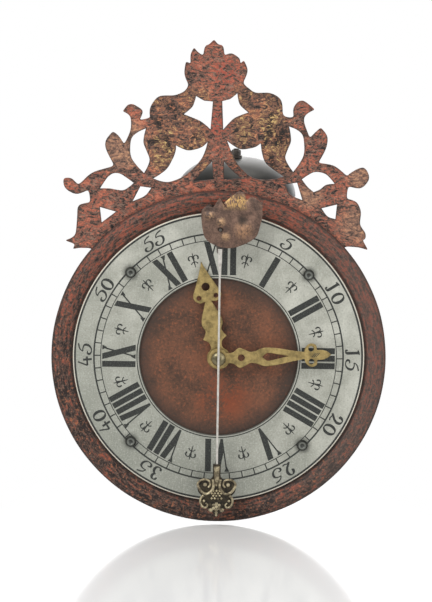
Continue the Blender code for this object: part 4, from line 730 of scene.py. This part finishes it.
def copper():
    """Chased copper sheet, dull and brown, with gilding left on the flame and on the bosses."""
    p = Paint("chased_copper")
    fine = p.noise(0.8, 4.0, 0.65, warp=0.4)
    cloud = p.noise(0.17, 4.0, 0.6)
    mottle = blended(p, cloud, fine, 0.55)
    colour = p.ramp(mottle, (0.38, tone(68, 55, 49)), (0.5, tone(100, 79, 68)), (0.62, tone(127, 101, 87)))
    streak = p.noise(0.8, 3.0, 0.6, at=p.vector("MULTIPLY", p.at, (1.8, 1.0, 0.6)))
    high = span("escutcheon")[1]
    height = p.both(p.rise(p.y, high.y - 15.0, high.y - 9.0), p.fall(p.y, high.y - 5.0, high.y - 1.0))
    flame = p.both(height, p.fall(p.calc("ABSOLUTE", p.calc("SUBTRACT", p.x, 11.0)), 6.0, 11.0))
    lobe = p.both(p.spot(17.0, 99.0, 2.0, 9.5), p.rise(streak, 0.36, 0.58))
    colour = p.mix(p.both(lobe, 0.75), colour, tone(172, 132, 100))
    gilt = p.both(flame, p.rise(streak, 0.45, 0.56))
    colour = p.mix(p.both(gilt, 0.85), colour, tone(192, 155, 98))
    for x, y, wide in ((0.4, 105.0, 5.0), (-8.4, 109.5, 5.5), (3.8, 93.9, 5.0)):
        worn = p.both(p.spot(x, y, 0.5, wide), p.rise(mottle, 0.42, 0.58))
        colour = p.mix(p.both(worn, 0.75), colour, tone(186, 150, 112))
    colour = p.mix(p.both(p.spot(16.4, 106.0, 1.0, 6.0), 0.75), colour, tone(48, 43, 39))
    p.bump(mottle, 0.6, 0.7)
    return p.finish(colour, between(p, fine, 0.36, 0.62), between(p, cloud, 0.55, 0.8))


def bell_metal():
    """Dark grey bell with turning marks round its axis; painted shade at the lip and a painted highlight at the
    crown.
    """
    p = Paint("bell_metal")
    low, high = span("bell")
    axis = Vector(((low.x + high.x) / 2, -(low.z + high.z) / 2, 0.0))
    flat = p.vector("MULTIPLY", p.vector("SUBTRACT", p.at, axis), (1.0, 1.0, 0.0))
    lines = p.noise(2.2, 2.0, at=p.join(0.0, 0.0, p.calc("ADD", p.vector("LENGTH", flat), p.y)))
    cloud = p.noise(0.09, 5.0, 0.6)
    # Painted light: the tone climbs from dark at the lip to light at the crown, with a cloudy spread.
    crown_light = p.calc("DIVIDE", p.calc("SUBTRACT", p.y, low.y), high.y - low.y)
    crown_light = p.calc("ADD", crown_light, p.calc("MULTIPLY", p.calc("SUBTRACT", cloud, 0.5), 0.5))
    colour = p.ramp(crown_light, (0.0, tone(14, 15, 14)), (0.4, tone(26, 26, 25)), (1.0, tone(64, 62, 58)))
    p.bump(lines, 0.05, 0.6)
    return p.finish(colour, between(p, cloud, 0.3, 0.46), between(p, lines, 0.75, 0.9))


PAINTS = {
    "disc": painted_disc(),
    "crest": painted_crest(),
    "pewter": pewter(),
    "ink": ink(),
    "copper": copper(),
    "bell": bell_metal(),
    "hands": brass("hand_brass", tone(118, 103, 66), tone(172, 150, 98), 0.4, tone(92, 80, 54)),
    "nut": brass("nut_brass", tone(84, 78, 58), tone(138, 128, 98), 0.34, tone(64, 58, 44)),
    "bob": cast_brass(),
    "wheel_brass": brass("wheel_brass", tone(140, 116, 58), tone(190, 162, 88), 0.36, tone(110, 86, 46)),
    "frame": iron("forged_iron", tone(66, 62, 59), tone(112, 105, 98), 0.52, 0.65),
    "arbors": iron("bright_iron", tone(120, 117, 112), tone(168, 164, 158), 0.36, 0.9, 0.2),
    # The screws' last tone is a painted highlight on the ridge of their heads.
    "screws": iron("screw_iron", tone(34, 35, 33), tone(70, 72, 68), 0.42, 0.7, 0.4, tone(104, 106, 100)),
    "steel": iron("rod_steel", tone(174, 170, 162), tone(210, 206, 198), 0.34, 0.7, 0.25),
}


# Dial disc
RIM_START = 109.5
BORE = 5.6
BAND_EDGE = 133.0
SWELL_REACH = 4.5
SWELLS = (((-60.0, 183.0), (1.4, 0.3)), ((53.8, 186.0), (-1.4, 0.3)), ((-105.0, 110.0), (-1.2, 0.8)))
FLOWER_BASE = (((-13.3, 194.4), (-0.2, -1.7)), ((5.5, 195.4), (0.2, -1.7)))
VERGE_LOOP = next(loop for loop in front_loops("chapter_ring")
                  if abs(middle(loop).x) < 1.0 and middle(loop).y > RIM_START / 2)
VERGE_HEIGHT = middle(VERGE_LOOP).y
VERGE_HOLE = (VERGE_LOOP[0] - middle(VERGE_LOOP)).length


def build_disc():
    outline = [spot * (1 - 0.0026 * (0.5 + 0.5 * noise.noise(spot.to_3d() * 0.04)))
               for spot in ring_points(PLATE_RADIUS, 240)]
    loops = [outline, ring_points(BORE, 40, turn=-1), ring_points(VERGE_HOLE, 24, (0.0, VERGE_HEIGHT), -1)]

    def beaten(x, y):
        spot = Vector((x, y, 0.0))
        share = max(0.0, (spot.length - RIM_START) / (PLATE_RADIUS - RIM_START))
        rim = (RIM_FRONT - PLATE_FRONT - 0.15) * math.sin(math.pi * min(1.0, share) ** 1.27)
        dents = 0.16 * noise.noise(spot * 0.045) + 0.07 * noise.noise(spot * 0.16)
        return rim + dents * (1 - share)

    disc = sheet(loops, PLATE_BACK, PLATE_FRONT, 0.3, 2.4, beaten, 1.0)
    profile = [(0.0, FEET_BACK), (3.0, FEET_BACK), (3.4, FEET_BACK + 0.4), (3.4, PLATE_BACK - 1.0),
               (4.2, PLATE_BACK + 0.6), (0.0, PLATE_BACK + 0.6)]
    feet = [moved(turned(profile, 20), (*middle(loop), 0.0)) for loop in front_loops("dial_plate", side=-1)]
    piece("dial_disc", together(disc, *feet), PAINTS["disc"], "clock", ["dial_plate"])


def clear_of_disc(loop):
    """Hole of the crest with its lower edge on the band that shows above the disc."""
    if middle(loop).length < PLATE_RADIUS:
        return loop
    return [spot * max(1.0, BAND_EDGE / spot.length) for spot in loop]


def swollen(loop, swells):
    """Crest outline with fuller curls: points near a swell move with it."""
    out = []
    for spot in loop:
        pushes = (Vector(push) * math.exp(-((spot - Vector(at)).length / SWELL_REACH) ** 2) for at, push in swells)
        out.append(sum(pushes, spot.copy()))
    return out


def build_crest():
    outline, *holes = front_loops("crest")
    loops = [rounded(swollen(refined(outline, corner=80.0), SWELLS))]
    loops += [swollen(refined(clear_of_disc(hole), corner=45.0), FLOWER_BASE) for hole in holes]

    def dents(x, y):
        spot = Vector((x, y, 3.0))
        return 0.16 * noise.noise(spot * 0.05) + 0.06 * noise.noise(spot * 0.2) - 0.12

    leaf = sheet(loops, CREST_FRONT - CREST_SHEET, CREST_FRONT - 0.1, 0.3, 3.0, dents, 1.0)
    inner = CREST_FRONT - CREST_SHEET + 0.3
    dome = [(0.0, CREST_BACK), (1.2, CREST_BACK + 0.2), (2.2, CREST_BACK + 0.7), (2.6, inner), (0.0, inner)]
    rivets = [moved(turned(dome, 16), (*middle(loop), 0.0)) for loop in front_loops("crest", side=-1)]
    piece("crest_leaves", together(leaf, *rivets), PAINTS["crest"], "clock", ["crest"])


# Chapter ring and its figures
RING_OUTER = span("chapter_ring")[1].x
RING_INNER = 59.0
INK_RISE = 0.05
MINUTES = {"outer": 93.0, "inner": 88.0}
TRACK_LINES = ((107.2, 1.45), (MINUTES["outer"], 1.2), (MINUTES["inner"], 0.6), (60.9, 0.75))
ROMAN_FOOT = 61.9
ROMAN_TOP = 86.8
WEDGE_FOOT = 1.6
WEDGE_START = 0.36
ROMAN = ["XII", "I", "II", "III", "IIII", "V", "VI", "VII", "VIII", "IX", "X", "XI"]


def build_ring():
    loops = [ring_points(RING_OUTER, 200), ring_points(RING_INNER, 140, turn=-1),
             ring_points(VERGE_HOLE, 24, (0.0, VERGE_HEIGHT), -1)]
    piece("ring_sheet", sheet(loops, RING_BACK, RING_FRONT, 0.35, 5.0), PAINTS["pewter"], "clock",
          ["chapter_ring"])


def band(radius, width, count=240):
    """Thin circle as a strip of quads."""
    outer, inner = ring_points(radius + width / 2, count), ring_points(radius - width / 2, count)
    return [[inner[i], outer[i], outer[(i + 1) % count], inner[(i + 1) % count]] for i in range(count)]


def at_hour(polygon, angle):
    """Figure drawn upright at twelve, turned clockwise round the dial."""
    c, s = math.cos(angle), math.sin(angle)
    return [Vector((p[0] * c + p[1] * s, p[1] * c - p[0] * s)) for p in polygon]


def bar(foot, top, foot_width, top_width):
    return [(foot - foot_width / 2, ROMAN_FOOT), (foot + foot_width / 2, ROMAN_FOOT),
            (top + top_width / 2, ROMAN_TOP), (top - top_width / 2, ROMAN_TOP)]


def wedge(foot, right, thick):
    """Broad stroke of a V: even in width until it nears its narrow foot."""
    edge = foot + WEDGE_FOOT / 2
    inner = edge + (right - edge) * WEDGE_START - thick
    return [(foot - WEDGE_FOOT / 2, ROMAN_FOOT), (edge, ROMAN_FOOT), (right, ROMAN_TOP),
            (right - thick, ROMAN_TOP), (inner, ROMAN_FOOT + (ROMAN_TOP - ROMAN_FOOT) * WEDGE_START)]


def serif(x, y, reach, half=1.9):
    return [(x - half, y), (x + half, y), (x, y + reach)]


def roman(text):
    """Bars of a numeral about its middle: thick strokes with flat ends, thin ones with pointed serifs."""
    thick = 4.2 if len(text) > 3 else 4.5
    space = 1.9 if text in ("XII", "VI") else 1.2
    even = text in ("V", "VI")
    wide = {"I": thick, "V": 11.6 if even else 10.4, "X": 13.2 if text == "X" else 11.4}
    total = sum(wide[c] for c in text) + space * (len(text) - 1)
    shapes = []
    left = -total / 2
    for letter in text:
        middle = left + wide[letter] / 2
        if letter == "I":
            shapes.append(bar(middle, middle, thick, thick))
        elif letter == "V":
            right = left + wide["V"]
            foot = middle if even else right - thick * 0.75
            shapes.append(wedge(foot, right, thick))
            shapes.append(bar(foot - 0.5, left + 1.6, 0.9, 1.1))
            shapes.append(serif(left + 1.6, ROMAN_TOP, -4.0))
        else:
            reach = wide["X"] / 2 - thick / 2
            shapes.append(bar(middle + reach, middle - reach, thick, thick))
            shapes.append(bar(middle - reach, middle + reach, 1.1, 1.1))
            shapes.append(serif(middle - reach, ROMAN_FOOT, 3.6))
            shapes.append(serif(middle + reach, ROMAN_TOP, -3.6))
        left += wide[letter] + space
    return shapes


def arc(centre, radii, start, end, count=14):
    """Points of an elliptic arc, degrees."""
    return [Vector((centre[0] + radii[0] * math.cos(math.radians(start + (end - start) * k / count)),
                    centre[1] + radii[1] * math.sin(math.radians(start + (end - start) * k / count))))
            for k in range(count + 1)]


def pen(points, thin, thick):
    """Broad pen line: upright runs thick, level runs thin, as a strip of quads."""
    lefts, rights = [], []
    for i, spot in enumerate(points):
        run = (points[min(i + 1, len(points) - 1)] - points[max(i - 1, 0)]).normalized()
        half = (thin + (thick - thin) * abs(run.y) ** 1.5) / 2
        side = Vector((-run.y, run.x)) * half
        lefts.append(spot + side)
        rights.append(spot - side)
    return [[rights[i], rights[i + 1], lefts[i + 1], lefts[i]] for i in range(len(points) - 1)]


def ball(x, y, size):
    return [ring_points(size, 10, (x, y))]


def spots(*places):
    return [Vector(place) for place in places]


def digit(figure):
    """Old-style figure in a box 0.62 wide and 1 high, as polygons."""
    thin, thick = 0.075, 0.2
    if figure == "0":
        return pen(arc((0.0, 0.45), (0.29, 0.43), 0, 360, 28), thin, thick)
    if figure == "1":
        stem = spots((0.02, 0.98), (0.02, 0.5), (0.02, 0.22)) + arc((-0.1, 0.2), (0.12, 0.17), 0, -150, 8)
        flag = spots((-0.16, 0.9), (0.02, 0.98), (0.16, 0.99))
        return pen(stem, thin, thick) + pen(flag, thin, thick) + ball(-0.2, 0.14, 0.06)
    if figure == "2":
        top = arc((-0.02, 0.68), (0.22, 0.27), 190, -30, 14)
        foot = spots((0.06, 0.36), (-0.16, 0.16), (-0.26, 0.06))
        base = spots((-0.26, 0.06), (-0.1, 0.12), (0.1, 0.05), (0.28, 0.1))
        return pen(top + foot, thin, thick) + pen(base, 0.09, 0.14) + ball(-0.2, 0.66, 0.08)
    if figure == "3":
        upper = arc((-0.03, 0.74), (0.19, 0.2), 150, -90, 12)
        lower = arc((-0.03, 0.27), (0.24, 0.27), 90, -150, 14)
        return pen(upper, thin, thick) + pen(lower, thin, thick) + ball(-0.2, 0.8, 0.07) + ball(-0.22, 0.15, 0.08)
    if figure == "4":
        stem = spots((0.14, 0.0), (0.12, 0.5), (0.12, 0.62))
        slope = spots((-0.02, 0.98), (-0.3, 0.32))
        level = spots((-0.3, 0.32), (0.34, 0.34))
        return pen(stem, thin, 0.15) + pen(slope, thin, 0.1) + pen(level, 0.13, 0.13)
    bowl = smooth_line(spots((-0.17, 0.63), (0.04, 0.65), (0.25, 0.57), (0.31, 0.42), (0.25, 0.22), (0.06, 0.06),
                             (-0.15, 0.04), (-0.31, 0.12), (-0.33, 0.24), (-0.24, 0.32), (-0.12, 0.31)), 3)
    flag = smooth_line(spots((-0.17, 0.63), (-0.07, 0.8), (0.1, 0.9), (0.22, 0.93), (0.38, 0.97)), 3)
    return pen(bowl, thin, 0.17) + pen(flag, 0.1, 0.07)


DIGIT_SIZE = 10.6
DIGIT_FOOT = 94.6
DIGIT_SPACE = 9.3


def minute_figures():
    shapes = []
    for minute in range(5, 60, 5):
        text = str(minute)
        for i, figure in enumerate(text):
            offset = (i - (len(text) - 1) / 2) * DIGIT_SPACE
            angle = math.radians(minute * 6) + offset / (DIGIT_FOOT + DIGIT_SIZE / 2)
            for polygon in digit(figure):
                lifted = [(p[0] * DIGIT_SIZE, DIGIT_FOOT + p[1] * DIGIT_SIZE) for p in polygon]
                shapes.append(at_hour(lifted, angle))
    return shapes


def half_hour():
    """Small fleur: spindle, two curled petals, and feet that end in dots."""
    shapes = [[(-0.3, -5.4), (0.0, -6.0), (0.3, -5.4), (0.6, 0.4), (0.3, 4.9), (0.0, 5.8), (-0.3, 4.9), (-0.6, 0.4)]]
    for side in (-1, 1):
        petal = [Vector((side * p.x, p.y)) for p in arc((1.95, 1.5), (1.7, 1.8), 205, -55, 16)]
        shapes += pen(petal, 0.6, 1.2)
        foot = [Vector((side * x, y)) for x, y in ((0.2, -1.6), (1.3, -1.7), (2.3, -2.7))]
        shapes += pen(foot, 0.75, 0.75)
        shapes.append(ring_points(0.5, 8, (side * 2.3, -2.8)))
    return [[(p[0], p[1] + 75.4) for p in shape] for shape in shapes]


def build_figures():
    top = RING_FRONT + INK_RISE
    low = RING_FRONT - 0.25
    numerals = [at_hour(shape, TURN * hour / 12) for hour, text in enumerate(ROMAN) for shape in roman(text)]
    piece("hour_numerals", inlay(numerals, low, top), PAINTS["ink"])
    piece("minute_numerals", inlay(minute_figures(), low, top), PAINTS["ink"])
    track = []
    for radius, width in TRACK_LINES:
        track += band(radius, width)
    tick = [(-0.4, MINUTES["inner"]), (0.4, MINUTES["inner"]), (0.45, MINUTES["outer"]), (-0.45, MINUTES["outer"])]
    track += [at_hour(tick, TURN * k / 60) for k in range(60)]
    piece("minute_track", inlay(track, low, top), PAINTS["ink"])
    fleurs = [at_hour(shape, TURN * (k + 0.5) / 12) for k in range(12) for shape in half_hour()]
    piece("half_hour_marks", inlay(fleurs, low, top), PAINTS["ink"])


def build_screws():
    for node in SCREWS:
        low, high = span(node)
        head, top = RING_FRONT + GAP, high.z
        profile = [(0.0, low.z), (1.4, low.z), (1.5, low.z + 0.3), (1.5, head), (3.9, head), (4.1, head + 0.4),
                   (3.8, head + 1.0), (3.1, top - 0.2), (2.5, top), (1.9, top - 0.1), (1.3, top - 0.6),
                   (0.0, top - 0.8)]
        # The ridge of each head is marked for a painted highlight.
        screw = marked(turned(profile, 28), lambda spot: float(spot.z > head + 1.0 and 1.5 < spot.xy.length < 2.8))
        spot = ((low.x + high.x) / 2, (low.y + high.y) / 2, 0.0)
        piece(node.replace("ring", "domed"), moved(screw, spot), PAINTS["screws"], "clock", [node])


# Hands
HEAD_FOOT = 48.5
HEAD_HALF = 10.9


def straight_head(loop):
    """Hour hand's outline with nearly straight sides from its tip down to its two lobes."""
    tip = max(loop, key=lambda spot: spot.length)
    along = tip.normalized()
    across = Vector((along.y, -along.x))
    out = []
    for spot in loop:
        height, side = spot.dot(along), spot.dot(across)
        if height > HEAD_FOOT:
            share = max(0.0, (tip.length - height) / (tip.length - HEAD_FOOT))
            side = math.copysign(HEAD_HALF * share ** 1.15, side)
        out.append(along * height + across * side)
    return out


def build_hands():
    for node, body in (("hour_hand", "hour"), ("minute_hand", "minute")):
        low, high = span(node)
        outline, *holes = front_loops(node)
        if node == "hour_hand":
            outline = straight_head(outline)
        loops = [refined(outline, corner=75.0)] + [refined(hole) for hole in holes]
        bm = sheet(loops, low.z, high.z, 0.3, 1.6)
        piece(f"{node}_blade", bm, PAINTS["hands"], body, [node])
    front = span("minute_hand")[1].z
    tip = max((spot for loop in front_loops("minute_hand") for spot in loop), key=lambda spot: spot.length)
    lines = []
    for k in range(3):
        spot = tip.normalized() * (tip.length - 13.0 + 1.5 * k)
        slope, thin = Vector((1.3, 1.5)), Vector((0.17, -0.15))
        lines.append([spot - slope - thin, spot - slope + thin, spot + slope + thin, spot + slope - thin])
    piece("minute_engraving", inlay(lines, front - 0.1, front + 0.03), PAINTS["ink"], "minute")
    low, high = span("hand_nut")
    wide = high.x
    rise = high.z - low.z
    dome = [(wide * math.cos(a), low.z + 0.7 + (rise - 0.7) * math.sin(a)) for a in (UP * k / 9 for k in range(9))]
    profile = [(2.2, low.z), (wide * 0.96, low.z)] + dome + [(2.2, high.z)]
    piece("hand_dome", turned(profile, 40), PAINTS["nut"], "going", ["hand_nut"])


# Escutcheon
BOSSES = ((16.0, 99.5, 6.0, 1.2), (21.0, 100.3, 3.5, 0.7), (0.4, 105.0, 2.6, 1.1),
          (-9.8, 109.3, 2.2, 0.9), (-6.2, 109.7, 2.2, 0.9), (16.4, 106.0, 5.0, -1.6),
          (3.8, 93.9, 4.0, 0.8))


def build_escutcheon():
    outline, *holes = front_loops("escutcheon", 0.5, 100.0)
    pivot = min(holes, key=lambda loop: (middle(loop) - Vector((0.0, VERGE_HEIGHT))).length)
    low, high = span("escutcheon")
    centre = (low + high) / 2
    base = low.z + 1.2

    def relief(x, y):
        dome = 2.4 * max(0.0, 1 - ((x - centre.x) / 24.0) ** 2 - ((y - centre.y) / 23.0) ** 2)
        bumps = sum(h * math.exp(-((x - bx) ** 2 + (y - by) ** 2) / (r * r)) for bx, by, r, h in BOSSES)
        flame = max(0.0, (y - 112.0) / 14.0) * 0.55 * math.sin((x - 10.0) * 1.3 + 0.6 * math.sin(y * 0.6))
        beaten = 0.22 * noise.noise(Vector((x, y, 2.0)) * 0.35)
        return max(0.0, min(high.z - base - 0.05, dome + bumps + flame + beaten))

    leaf = sheet([refined(outline), refined(pivot)], low.z, base, 0.3, 0.8, relief, 1.0)
    piece("escutcheon_relief", leaf, PAINTS["copper"], "clock", ["escutcheon"])
    for side in ("left", "right"):
        node = f"escutcheon_post_{side}"
        back, front = span(node)
        x, y = (back.x + front.x) / 2, (back.y + front.y) / 2
        wide = (front.x - back.x) / 2
        end = base + relief(x, y) - 0.5
        profile = [(0.0, back.z), (wide - 0.3, back.z), (wide, back.z + 0.3), (wide, end), (0.0, end)]
        piece(f"escutcheon_pillar_{side}", moved(turned(profile, 20), (x, y, 0.0)), PAINTS["frame"],
              "clock", [node])


# Bell
BELL_FULLNESS = 0.84


def build_bell():
    low, high = span("bell")
    wide = (high.x - low.x) / 2
    tall = high.y - low.y
    wall = 2.0
    angles = [UP * k / 26 for k in range(1, 27)]
    outer = [(wide * math.sin(a) ** BELL_FULLNESS, tall * math.cos(a)) for a in angles]
    inner = [((wide - wall) * math.sin(a) ** BELL_FULLNESS, (tall - wall) * math.cos(a)) for a in reversed(angles)]
    bm = turned([(2.3, tall)] + outer + [(wide - wall / 2, -0.0)] + inner + [(2.3, tall - wall)], 96)
    stand = Matrix.Rotation(-UP, 4, "X")
    spot = ((low.x + high.x) / 2, low.y, (low.z + high.z) / 2)
    piece("bell_shell", moved(bm, spot, stand), PAINTS["bell"], "clock", ["bell"])


# Pendulum bob
BOB_STEM = 22.0
UPPER_SCROLL = ((2.8, 10.7), (2.4, 5.1), (4.2, 1.5), (7.3, -0.3), (10.8, 1.1), (13.4, 4.6), (14.0, 7.4),
                (11.7, 10.0), (8.4, 10.6), (5.6, 9.4), (4.9, 6.6), (6.3, 4.6))
LOWER_SCROLL = ((9.6, -1.6), (11.5, -3.4), (12.0, -6.7), (10.6, -9.7), (8.0, -10.6), (6.6, -8.8), (8.0, -7.2))
BOB_SCROLLS = ((UPPER_SCROLL, 1.15), (LOWER_SCROLL, 1.0))


def smooth_line(spots, steps=6):
    """Points of a curve through the given ones."""
    out = []
    for i in range(len(spots) - 1):
        a, b, c, d = (spots[max(0, min(len(spots) - 1, i + k))] for k in (-1, 0, 1, 2))
        for k in range(steps):
            t = k / steps
            out.append(b + (c - a) * t / 2 + (a * 2 - b * 5 + c * 4 - d) * t * t / 2
                       + (b * 3 - a - c * 3 + d) * t ** 3 / 2)
    return out + [spots[-1]]


def build_bob():
    low, high = span("pendulum_bob")
    plane = (low.z + high.z) / 2
    front = plane + 1.6
    centre = Vector(((low.x + high.x) / 2, high.y - BOB_STEM, 0.0))

    def face(x, y):
        return 0.3 * noise.noise(Vector((x, y, 5.0)) * 0.5)

    # The edge attribute sets each part's tone: dark on the plate, worn brass with a painted highlight on the raised
    # parts.
    parts = [marked(sheet([refined(silhouette("pendulum_bob"))], plane - 2.4, front, 0.7, 1.2, face), 0.2)]
    neck = [centre + Vector((0.0, y, front - 0.6)) for y in (20.5, 17.0, 13.0, 9.0, 5.5)]
    parts.append(marked(tube_along(neck, [2.5, 2.2, 2.2, 2.5, 1.0], 12, 0.75), 0.75))
    for side in (-1, 1):
        for scroll, thick in BOB_SCROLLS:
            line = smooth_line([centre + Vector((side * x, y, front + 0.3)) for x, y in scroll])
            radii = [thick * (1.0 - 0.4 * k / len(line)) for k in range(len(line))]
            parts.append(marked(tube_along(line, radii, 10), 0.85))
        for x, y, size, tint in ((8.6, 6.6, 1.5, 0.9), (4.2, -12.5, 1.7, 0.8), (9.3, -5.6, 1.1, 0.8)):
            bead = turned([(0.0, 0.0), (size, 0.0), (size * 0.8, size * 0.6), (0.0, size * 0.9)], 14)
            parts.append(marked(moved(bead, centre + Vector((side * x, y, front - 0.2))), tint))
    for row in range(4):
        for column in range(-2, 3):
            x, y = (column + 0.5 * (row % 2)) * 2.4, 2.0 - row * 1.9
            if abs(x) < 4.4 - 0.5 * abs(row - 1.5):
                stud = turned([(0.0, 0.0), (1.1, 0.0), (0.7, 0.6), (0.0, 0.85)], 4)
                parts.append(marked(moved(stud, centre + Vector((x, y, front))), 0.95))
    for k in range(6):
        petal = turned([(0.0, -0.4), (1.2, -0.2), (1.1, 0.7), (0.0, 1.1)], 10)
        spot = polar(2.4, TURN * (k + 0.5) / 6)
        parts.append(marked(moved(petal, centre + Vector((spot.x, spot.y - 10.0, front))), 0.85))
    for drop, size in ((10.0, 1.4), (14.5, 1.25), (16.5, 0.95)):
        bead = turned([(0.0, -0.5), (size, -0.3), (size * 0.8, 0.9), (0.0, 1.3)], 12)
        parts.append(marked(moved(bead, centre + Vector((0.0, -drop, front - 0.4))), 0.95))
    piece("bob_casting", together(*parts), PAINTS["bob"], "pendulum", ["pendulum_bob"])


# CAD nodes that keep their own shape
KEPT = {
    "frame": ["top_plate", "bottom_plate", "post_back_left", "post_back_right", "post_front_left", "post_front_right",
              "back_bar", "middle_bar", "front_bar", "upper_potence", "lower_potence", "hanging_hoop",
              "wall_spur_left", "wall_spur_right", "bell_post", "bell_washer", "bell_nut", "minute_wheel_stud",
              "count_wheel_stud", "going_pulley", "strike_pulley",
              "hammer", "strike_lever", "pendulum_arm", "verge"],
    "arbors": ["going_arbor", "going_wheel", "contrate_arbor", "escape_arbor", "strike_arbor", "strike_wheel",
               "hoop_arbor", "fly_arbor", "count_wheel"],
    "wheel_brass": ["contrate_wheel", "escape_wheel", "minute_pipe", "hour_wheel", "minute_wheel", "hoop_wheel",
                    "fly_vane"],
    "steel": ["pendulum_rod"],
}


def dress_kept():
    for paint, nodes in KEPT.items():
        for name in nodes:
            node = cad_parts[name]
            node.data.materials.clear()
            node.data.materials.append(PAINTS[paint])
            bevel = node.modifiers.new("soft_edges", "BEVEL")
            bevel.width = 0.2 * MM
            bevel.segments = 2
            bevel.limit_method = "ANGLE"
            bevel.angle_limit = math.radians(40)


# Stage
CAMERA_DISTANCE = 5.0
CAMERA_ELEVATION = 8.5
CAMERA_ROLL = 0.85
FRAME_HEIGHT = 0.449
TARGET = Vector((-2.5, 42.0, PLATE_FRONT))


def build_camera():
    camera = bpy.data.cameras.new("camera")
    camera.sensor_fit = "VERTICAL"
    camera.sensor_height = 36.0
    camera.lens = CAMERA_DISTANCE * camera.sensor_height / FRAME_HEIGHT
    thing = bpy.data.objects.new("camera", camera)
    tilt = math.radians(CAMERA_ELEVATION)
    away = Vector((0.0, -math.cos(tilt), math.sin(tilt)))
    thing.matrix_world = (Matrix.Translation(TO_WORLD @ TARGET + away * CAMERA_DISTANCE)
                          @ Matrix.Rotation(UP - tilt, 4, "X")
                          @ Matrix.Rotation(math.radians(CAMERA_ROLL), 4, "Z"))
    bpy.context.scene.collection.objects.link(thing)
    bpy.context.scene.camera = thing


def lamp(name, place, size, power):
    light = bpy.data.lights.new(name, "AREA")
    light.shape = "DISK"
    light.size = size
    light.energy = power
    thing = bpy.data.objects.new(name, light)
    thing.location = place
    aim = TO_WORLD @ TARGET - Vector(place)
    thing.rotation_euler = aim.to_track_quat("-Z", "Y").to_euler()
    bpy.context.scene.collection.objects.link(thing)


def white_where_seen(nodes, links):
    """1 for the rays that see the background, 0 for those that carry its light."""
    rays = nodes.new("ShaderNodeLightPath")
    seen = rays.outputs["Is Camera Ray"]
    for kind in ("Is Glossy Ray", "Is Transmission Ray"):
        most = nodes.new("ShaderNodeMath")
        most.operation = "MAXIMUM"
        links.new(seen, most.inputs[0])
        links.new(rays.outputs[kind], most.inputs[1])
        seen = most.outputs[0]
    return seen


def build_world():
    world = bpy.data.worlds.new("studio")
    bpy.context.scene.world = world
    world.use_nodes = True
    nodes, links = world.node_tree.nodes, world.node_tree.links
    light = nodes["Background"]
    light.inputs["Color"].default_value = (1.0, 1.0, 1.0, 1.0)
    light.inputs["Strength"].default_value = 0.36
    white = nodes.new("ShaderNodeBackground")
    white.inputs["Color"].default_value = (1.0, 1.0, 1.0, 1.0)
    mix = nodes.new("ShaderNodeMixShader")
    links.new(white_where_seen(nodes, links), mix.inputs[0])
    links.new(light.outputs[0], mix.inputs[1])
    links.new(white.outputs[0], mix.inputs[2])
    links.new(mix.outputs[0], nodes["World Output"].inputs[0])


def build_floor():
    floor_z = CAD_BOX[0].z - 0.0012
    mesh = bpy.data.meshes.new("floor")
    bm = bmesh.new()
    bmesh.ops.create_circle(bm, cap_ends=True, segments=64, radius=8.0)
    bm.to_mesh(mesh)
    bm.free()
    floor = bpy.data.objects.new("floor", mesh)
    floor.location = (0.0, -0.35, floor_z)
    bpy.context.scene.collection.objects.link(floor)
    material = bpy.data.materials.new("pale_floor")
    material.use_nodes = True
    nodes, links = material.node_tree.nodes, material.node_tree.links
    surface = nodes["Principled BSDF"]
    surface.inputs["Base Color"].default_value = (0.97, 0.97, 0.97, 1.0)
    surface.inputs["Roughness"].default_value = 0.1
    surface.inputs["Specular IOR Level"].default_value = 0.2
    glow = nodes.new("ShaderNodeEmission")
    coords = nodes.new("ShaderNodeTexCoord")
    near = nodes.new("ShaderNodeVectorMath")
    near.operation = "DIVIDE"
    near.inputs[1].default_value = (0.24, 0.5, 1.0)
    links.new(coords.outputs["Object"], near.inputs[0])
    far = nodes.new("ShaderNodeVectorMath")
    far.operation = "LENGTH"
    links.new(near.outputs[0], far.inputs[0])
    fade = nodes.new("ShaderNodeMapRange")
    fade.interpolation_type = "SMOOTHSTEP"
    fade.inputs["From Min"].default_value = 0.35
    fade.inputs["From Max"].default_value = 0.9
    links.new(far.outputs["Value"], fade.inputs["Value"])
    seen = nodes.new("ShaderNodeMath")
    seen.operation = "MULTIPLY"
    links.new(fade.outputs[0], seen.inputs[0])
    links.new(white_where_seen(nodes, links), seen.inputs[1])
    mix = nodes.new("ShaderNodeMixShader")
    links.new(seen.outputs[0], mix.inputs[0])
    links.new(surface.outputs[0], mix.inputs[1])
    links.new(glow.outputs[0], mix.inputs[2])
    links.new(mix.outputs[0], nodes["Material Output"].inputs[0])
    mesh.materials.append(material)


build_disc()
build_crest()
build_ring()
build_figures()
build_screws()
build_hands()
build_escutcheon()
build_bell()
build_bob()
dress_kept()
build_camera()
build_world()
build_floor()
lamp("key", (-1.0, -1.4, 1.2), 1.0, 25.0)
lamp("fill", (1.6, -1.7, 0.3), 1.4, 11.0)
lamp("top", (0.2, 0.2, 1.6), 1.2, 10.0)
lamp("back", (0.6, 2.4, 0.7), 3.2, 38.0)
bpy.context.scene.view_settings.view_transform = "Standard"
